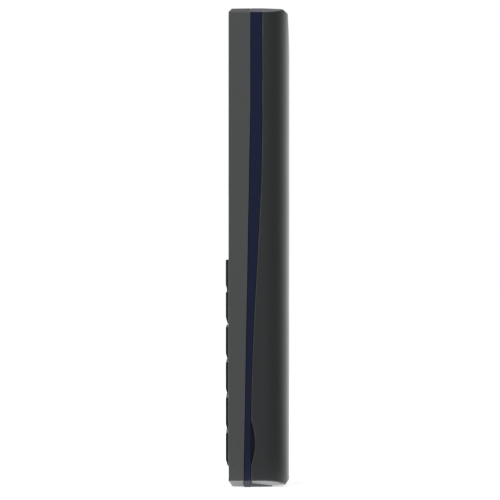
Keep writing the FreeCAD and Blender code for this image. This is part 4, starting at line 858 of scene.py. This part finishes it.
def make_battery_trim():
    """Moulded caps on the battery's ends and the lap of its wrap, both barely proud of it, and
    the signs for plus and minus beside its contacts."""
    low, high = box_mm("battery")
    proud, deep, from_side, from_face = 0.02, 0.4, 0.9, 1.0
    caps = []
    for start, end in ((low[2] + 0.5, low[2] + 2.6), (high[2] - 3.4, high[2] - 0.6)):
        caps.append(((low[0] + from_side, high[1] - deep, start),
                     (high[0] - from_side, high[1] + proud, end)))
        for left, right in ((low[0] - proud, low[0] + deep), (high[0] - deep, high[0] + proud)):
            caps.append(((left, low[1] + from_face, start), (right, high[1] - from_face, end)))
    add_blocks("battery_caps", caps, 0.015, FINISHES["black_resin"], "battery")
    lap = [((8.2, high[1] - 0.3, low[2] + 2.9), (16.0, high[1] + 0.035, high[2] - 3.7))]
    add_blocks("battery_wrap_lap", lap, 0.03, FINISHES["battery_wrap"], "battery")
    bar, arm = 0.22, 0.8
    plus = [(-arm, -bar), (-bar, -bar), (-bar, -arm), (bar, -arm), (bar, -bar), (arm, -bar),
            (arm, bar), (bar, bar), (bar, arm), (-bar, arm), (-bar, bar), (-arm, bar)]
    minus = [(-arm, -bar), (arm, -bar), (arm, bar), (-arm, bar)]
    aside, y = 5.6, 1.5
    shape = flat_shape("battery_marks", [[(px - aside, py + y) for px, py in plus],
                                         [(px + aside, py + y) for px, py in minus]])
    shape.transform(Matrix.Translation((0, 0, high[2] * MM)) @ Matrix.Scale(MM, 4))
    new_piece("battery_marks", shape, WHITE_INK, "battery")


def make_speaker_cone():
    """Pressed film cone of the loudspeaker, with its dome and rolled surround."""
    dome_radius, dome_foot, dome_rise, steps = 2.4, 0.35, 0.65, 8
    profile = [(0.02, dome_foot + dome_rise)]
    for step in range(1, steps + 1):
        angle = step * math.pi / (2 * steps)
        profile.append((dome_radius * math.sin(angle), dome_foot + dome_rise * math.cos(angle)))
    cone = [(2.7, 0.2), (3.4, 0.12)]
    surround = [(3.8, 0.35), (4.3, 0.45), (4.8, 0.3), (5.1, 0.05)]
    underside = [(5.1, 0.0), (0.02, 0.0)]
    middle = (-13.0, box_mm("loudspeaker")[1][1], 98.9)
    add_ring("loudspeaker_cone", profile + cone + surround + underside, middle, "Y",
             FINISHES["film"], "phone")


def make_cover_ribs():
    """Stiffening ribs and clips moulded inside the rear cover, clear of what lies under it."""
    inner_back = 5.85
    low_front, tall_front, rise = inner_back - 0.35, inner_back - 1.4, inner_back + 0.1
    # Low ribs over the battery, round its bay and across it
    ribs = [((-15.5, low_front, z), (15.5, rise, z + 0.7)) for z in (9.5, 58.8)]
    ribs += [((x, low_front, 9.5), (x + 0.7, rise, 59.5)) for x in (-15.5, 14.8)]
    ribs += [((-14.8, low_front, z), (14.8, rise, z + 0.6)) for z in (22.0, 34.3, 46.6)]
    # Tall ribs above the battery, where the cover stands clear of the cards
    ribs += [((-18.0, tall_front, z), (18.0, rise, z + 0.7)) for z in (64.0, 83.0)]
    ribs += [((x, tall_front, 64.0), (x + 0.7, rise, 83.7)) for x in (-18.0, -0.35, 17.3)]
    rear = FINISHES["rear_plastic"]
    add_blocks("rear_cover_ribs", ribs, 0.06, rear, "rear_cover")
    inner_side, half_thick, half_long = 23.34, 0.17, 2.5
    clips = [((side * inner_side - half_thick, 0.95, z - half_long),
              (side * inner_side + half_thick, 1.75, z + half_long))
             for side in (-1, 1) for z in (24.0, 48.0, 72.0, 96.0)]
    add_blocks("rear_cover_clips", clips, 0.08, rear, "rear_cover")


def make_frame_ridges():
    """Ridges moulded on the frame's ends, which close the joint behind the front cover; they are
    finished in painted shade, so that the joint reads dark.
    """
    foot, top = (corner[2] for corner in box_mm("mid_frame"))
    half_wide, half_thick = 19.0, 0.058
    ridges = [((-half_wide, seam - half_thick, low), (half_wide, seam + half_thick, high))
              for seam, low, high in ((-3.54, foot + 0.1, 1.9), (-2.0, 110.1, top - 0.1))]
    # The ridges carry painted shade in place of the frame's navy, to darken the joint
    add_blocks("mid_frame_ridges", ridges, 0.01, PAINTED_SHADE_BLACK, "phone")


make_screens()
make_board_parts()
make_vents_and_pads()
make_contacts()
make_holder_stampings()
make_battery_trim()
make_speaker_cone()
make_cover_ribs()
make_frame_ridges()


# Floor, light and camera

def room_light(tree, direction):
    """How bright the surroundings look in gloss, by where a direction points: brightest to the
    phone's left, dim to its right, and darker straight in front."""
    parts = add(tree, "ShaderNodeSeparateXYZ", {0: direction})
    across = add(tree, "ShaderNodeMapRange", {"Value": parts.outputs["X"], "From Min": -1})
    ramp = add(tree, "ShaderNodeValToRGB", {"Fac": across})
    # From the left, at 0, to the right, at 1
    stops = [(0.0, 0.35), (0.05, 0.88), (0.13, 0.95), (0.24, 0.82), (0.36, 0.54), (0.47, 0.32),
             (0.57, 0.18), (0.67, 0.09), (0.8, 0.05), (0.92, 0.08), (1.0, 0.14)]
    points = ramp.color_ramp.elements
    while len(points) < len(stops):
        points.new(0.5)
    for point, (where, level) in zip(points, stops):
        point.position = where
        point.color = (level, level, level, 1)
    strong = add(tree, "ShaderNodeMath", {0: ramp, 1: 2.4}, operation="MULTIPLY")
    in_front = add(tree, "ShaderNodeMapRange", {
        "Value": parts.outputs["Y"], "From Min": -0.97, "From Max": -0.75, "To Min": 0.2})
    return add(tree, "ShaderNodeMath", {0: strong, 1: in_front}, operation="MULTIPLY")


def ways_seen(tree):
    """Whether light goes to the camera, straight or through glass, and whether it's seen in
    gloss: each 0 or 1."""
    path = add(tree, "ShaderNodeLightPath").outputs
    straight = add(tree, "ShaderNodeMath", {
        0: path["Is Camera Ray"], 1: path["Is Transmission Ray"]}, operation="MAXIMUM")
    return straight, path["Is Glossy Ray"]


def make_floor_finish():
    """Matt white floor: it takes the phone's shadow, and reads as white paper to the camera,
    in gloss and through glass."""
    material = grained("matt_white_floor", "#f2f2f2", "#f6f6f6", roughness=0.9, grain_mm=40.0,
                       Specular_IOR_Level=0.1, Emission_Color="#ffffff")
    tree = material.node_tree
    shader = tree.nodes["Principled BSDF"]
    straight, in_gloss = ways_seen(tree)
    lift = add(tree, "ShaderNodeMath", {0: straight, 1: 0.62}, operation="MULTIPLY")
    set_inputs(tree, shader, {"Emission Strength": lift})
    # In gloss the table is white close to the phone and fades into the room beyond its edge
    spot = add(tree, "ShaderNodeTexCoord").outputs["Object"]
    far = add(tree, "ShaderNodeVectorMath", {0: spot}, operation="LENGTH").outputs["Value"]
    outwards = add(tree, "ShaderNodeVectorMath", {0: spot}, operation="NORMALIZE")
    beyond = add(tree, "ShaderNodeMapRange", {
        "Value": far, "From Min": 26 * MM, "From Max": 45 * MM})
    level = add(tree, "ShaderNodeMix", {0: beyond, 2: 1.9, 3: room_light(tree, outwards)})
    mirrored = add(tree, "ShaderNodeEmission", {"Strength": level})
    shown = add(tree, "ShaderNodeMixShader", {0: in_gloss, 1: shader, 2: mirrored})
    set_inputs(tree, tree.nodes["Material Output"], {"Surface": shown})
    return material


def make_floor():
    """A round floor 12 m across, level with the phone's lower end."""
    shape = bmesh.new()
    bmesh.ops.create_circle(shape, cap_ends=True, segments=96, radius=6.0)
    # A hair lower than the phone, so that no two faces lie in one plane
    for corner in shape.verts:
        corner.co.z = -0.05 * MM
    new_piece("floor", mesh_of("floor", shape), make_floor_finish())


def make_studio():
    """Surroundings that are white to the camera and through glass, an even light to dull
    surfaces, and in gloss a room that is dim overhead."""
    world = bpy.data.worlds.new("studio")
    bpy.context.scene.world = world
    world.use_nodes = True
    tree = world.node_tree
    tree.nodes.remove(tree.nodes["Background"])
    direction = add(tree, "ShaderNodeTexCoord").outputs["Generated"]
    height = add(tree, "ShaderNodeSeparateXYZ", {0: direction}).outputs["Z"]
    overhead = add(tree, "ShaderNodeMapRange", {"Value": height, "From Min": 0.16, "From Max": 0.5})
    room = add(tree, "ShaderNodeMix", {0: overhead, 2: room_light(tree, direction), 3: 0.11})
    glossy, plain, white = [
        add(tree, "ShaderNodeBackground", {"Strength": strength, "Color": (1, 1, 1, 1)})
        for strength in (room, 0.55, 1.0)]
    straight, in_gloss = ways_seen(tree)
    lit = add(tree, "ShaderNodeMixShader", {0: in_gloss, 1: plain, 2: glossy})
    shown = add(tree, "ShaderNodeMixShader", {0: straight, 1: lit, 2: white})
    set_inputs(tree, tree.nodes["World Output"], {"Surface": shown})


def make_lamp(name, place, size, power):
    """A square soft lamp, aimed at the phone, that doesn't show in gloss or through glass."""
    lamp = bpy.data.lights.new(name, "AREA")
    lamp.size = size
    lamp.energy = power
    holder = add_object(name, lamp)
    holder.location = place
    aim = Vector((0, 0, 0.05)) - Vector(place)
    holder.rotation_euler = aim.to_track_quat("-Z", "Y").to_euler()
    holder.visible_glossy = False
    holder.visible_transmission = False


def make_camera():
    """Level view of the phone's right side from 1.2 m, as the photograph shows it."""
    lens = bpy.data.cameras.new("side_view")
    lens.sensor_width = 36.0
    lens.lens = 370.4
    lens.clip_start = 0.01
    camera = add_object("side_view", lens)
    # A little in front of the phone's middle and below it, as the photograph is framed
    camera.location = (1.22475, -0.00213, 0.05539)
    camera.rotation_euler = (math.pi / 2, 0, math.pi / 2)
    bpy.context.scene.camera = camera


make_floor()
make_studio()
make_lamp("key_lamp", (0.3, -0.2, 0.4), size=0.25, power=1.2)
make_lamp("fill_lamp", (-0.6, 0.55, 0.7), size=0.5, power=1.6)
make_camera()
bpy.context.scene.view_settings.view_transform = "Standard"
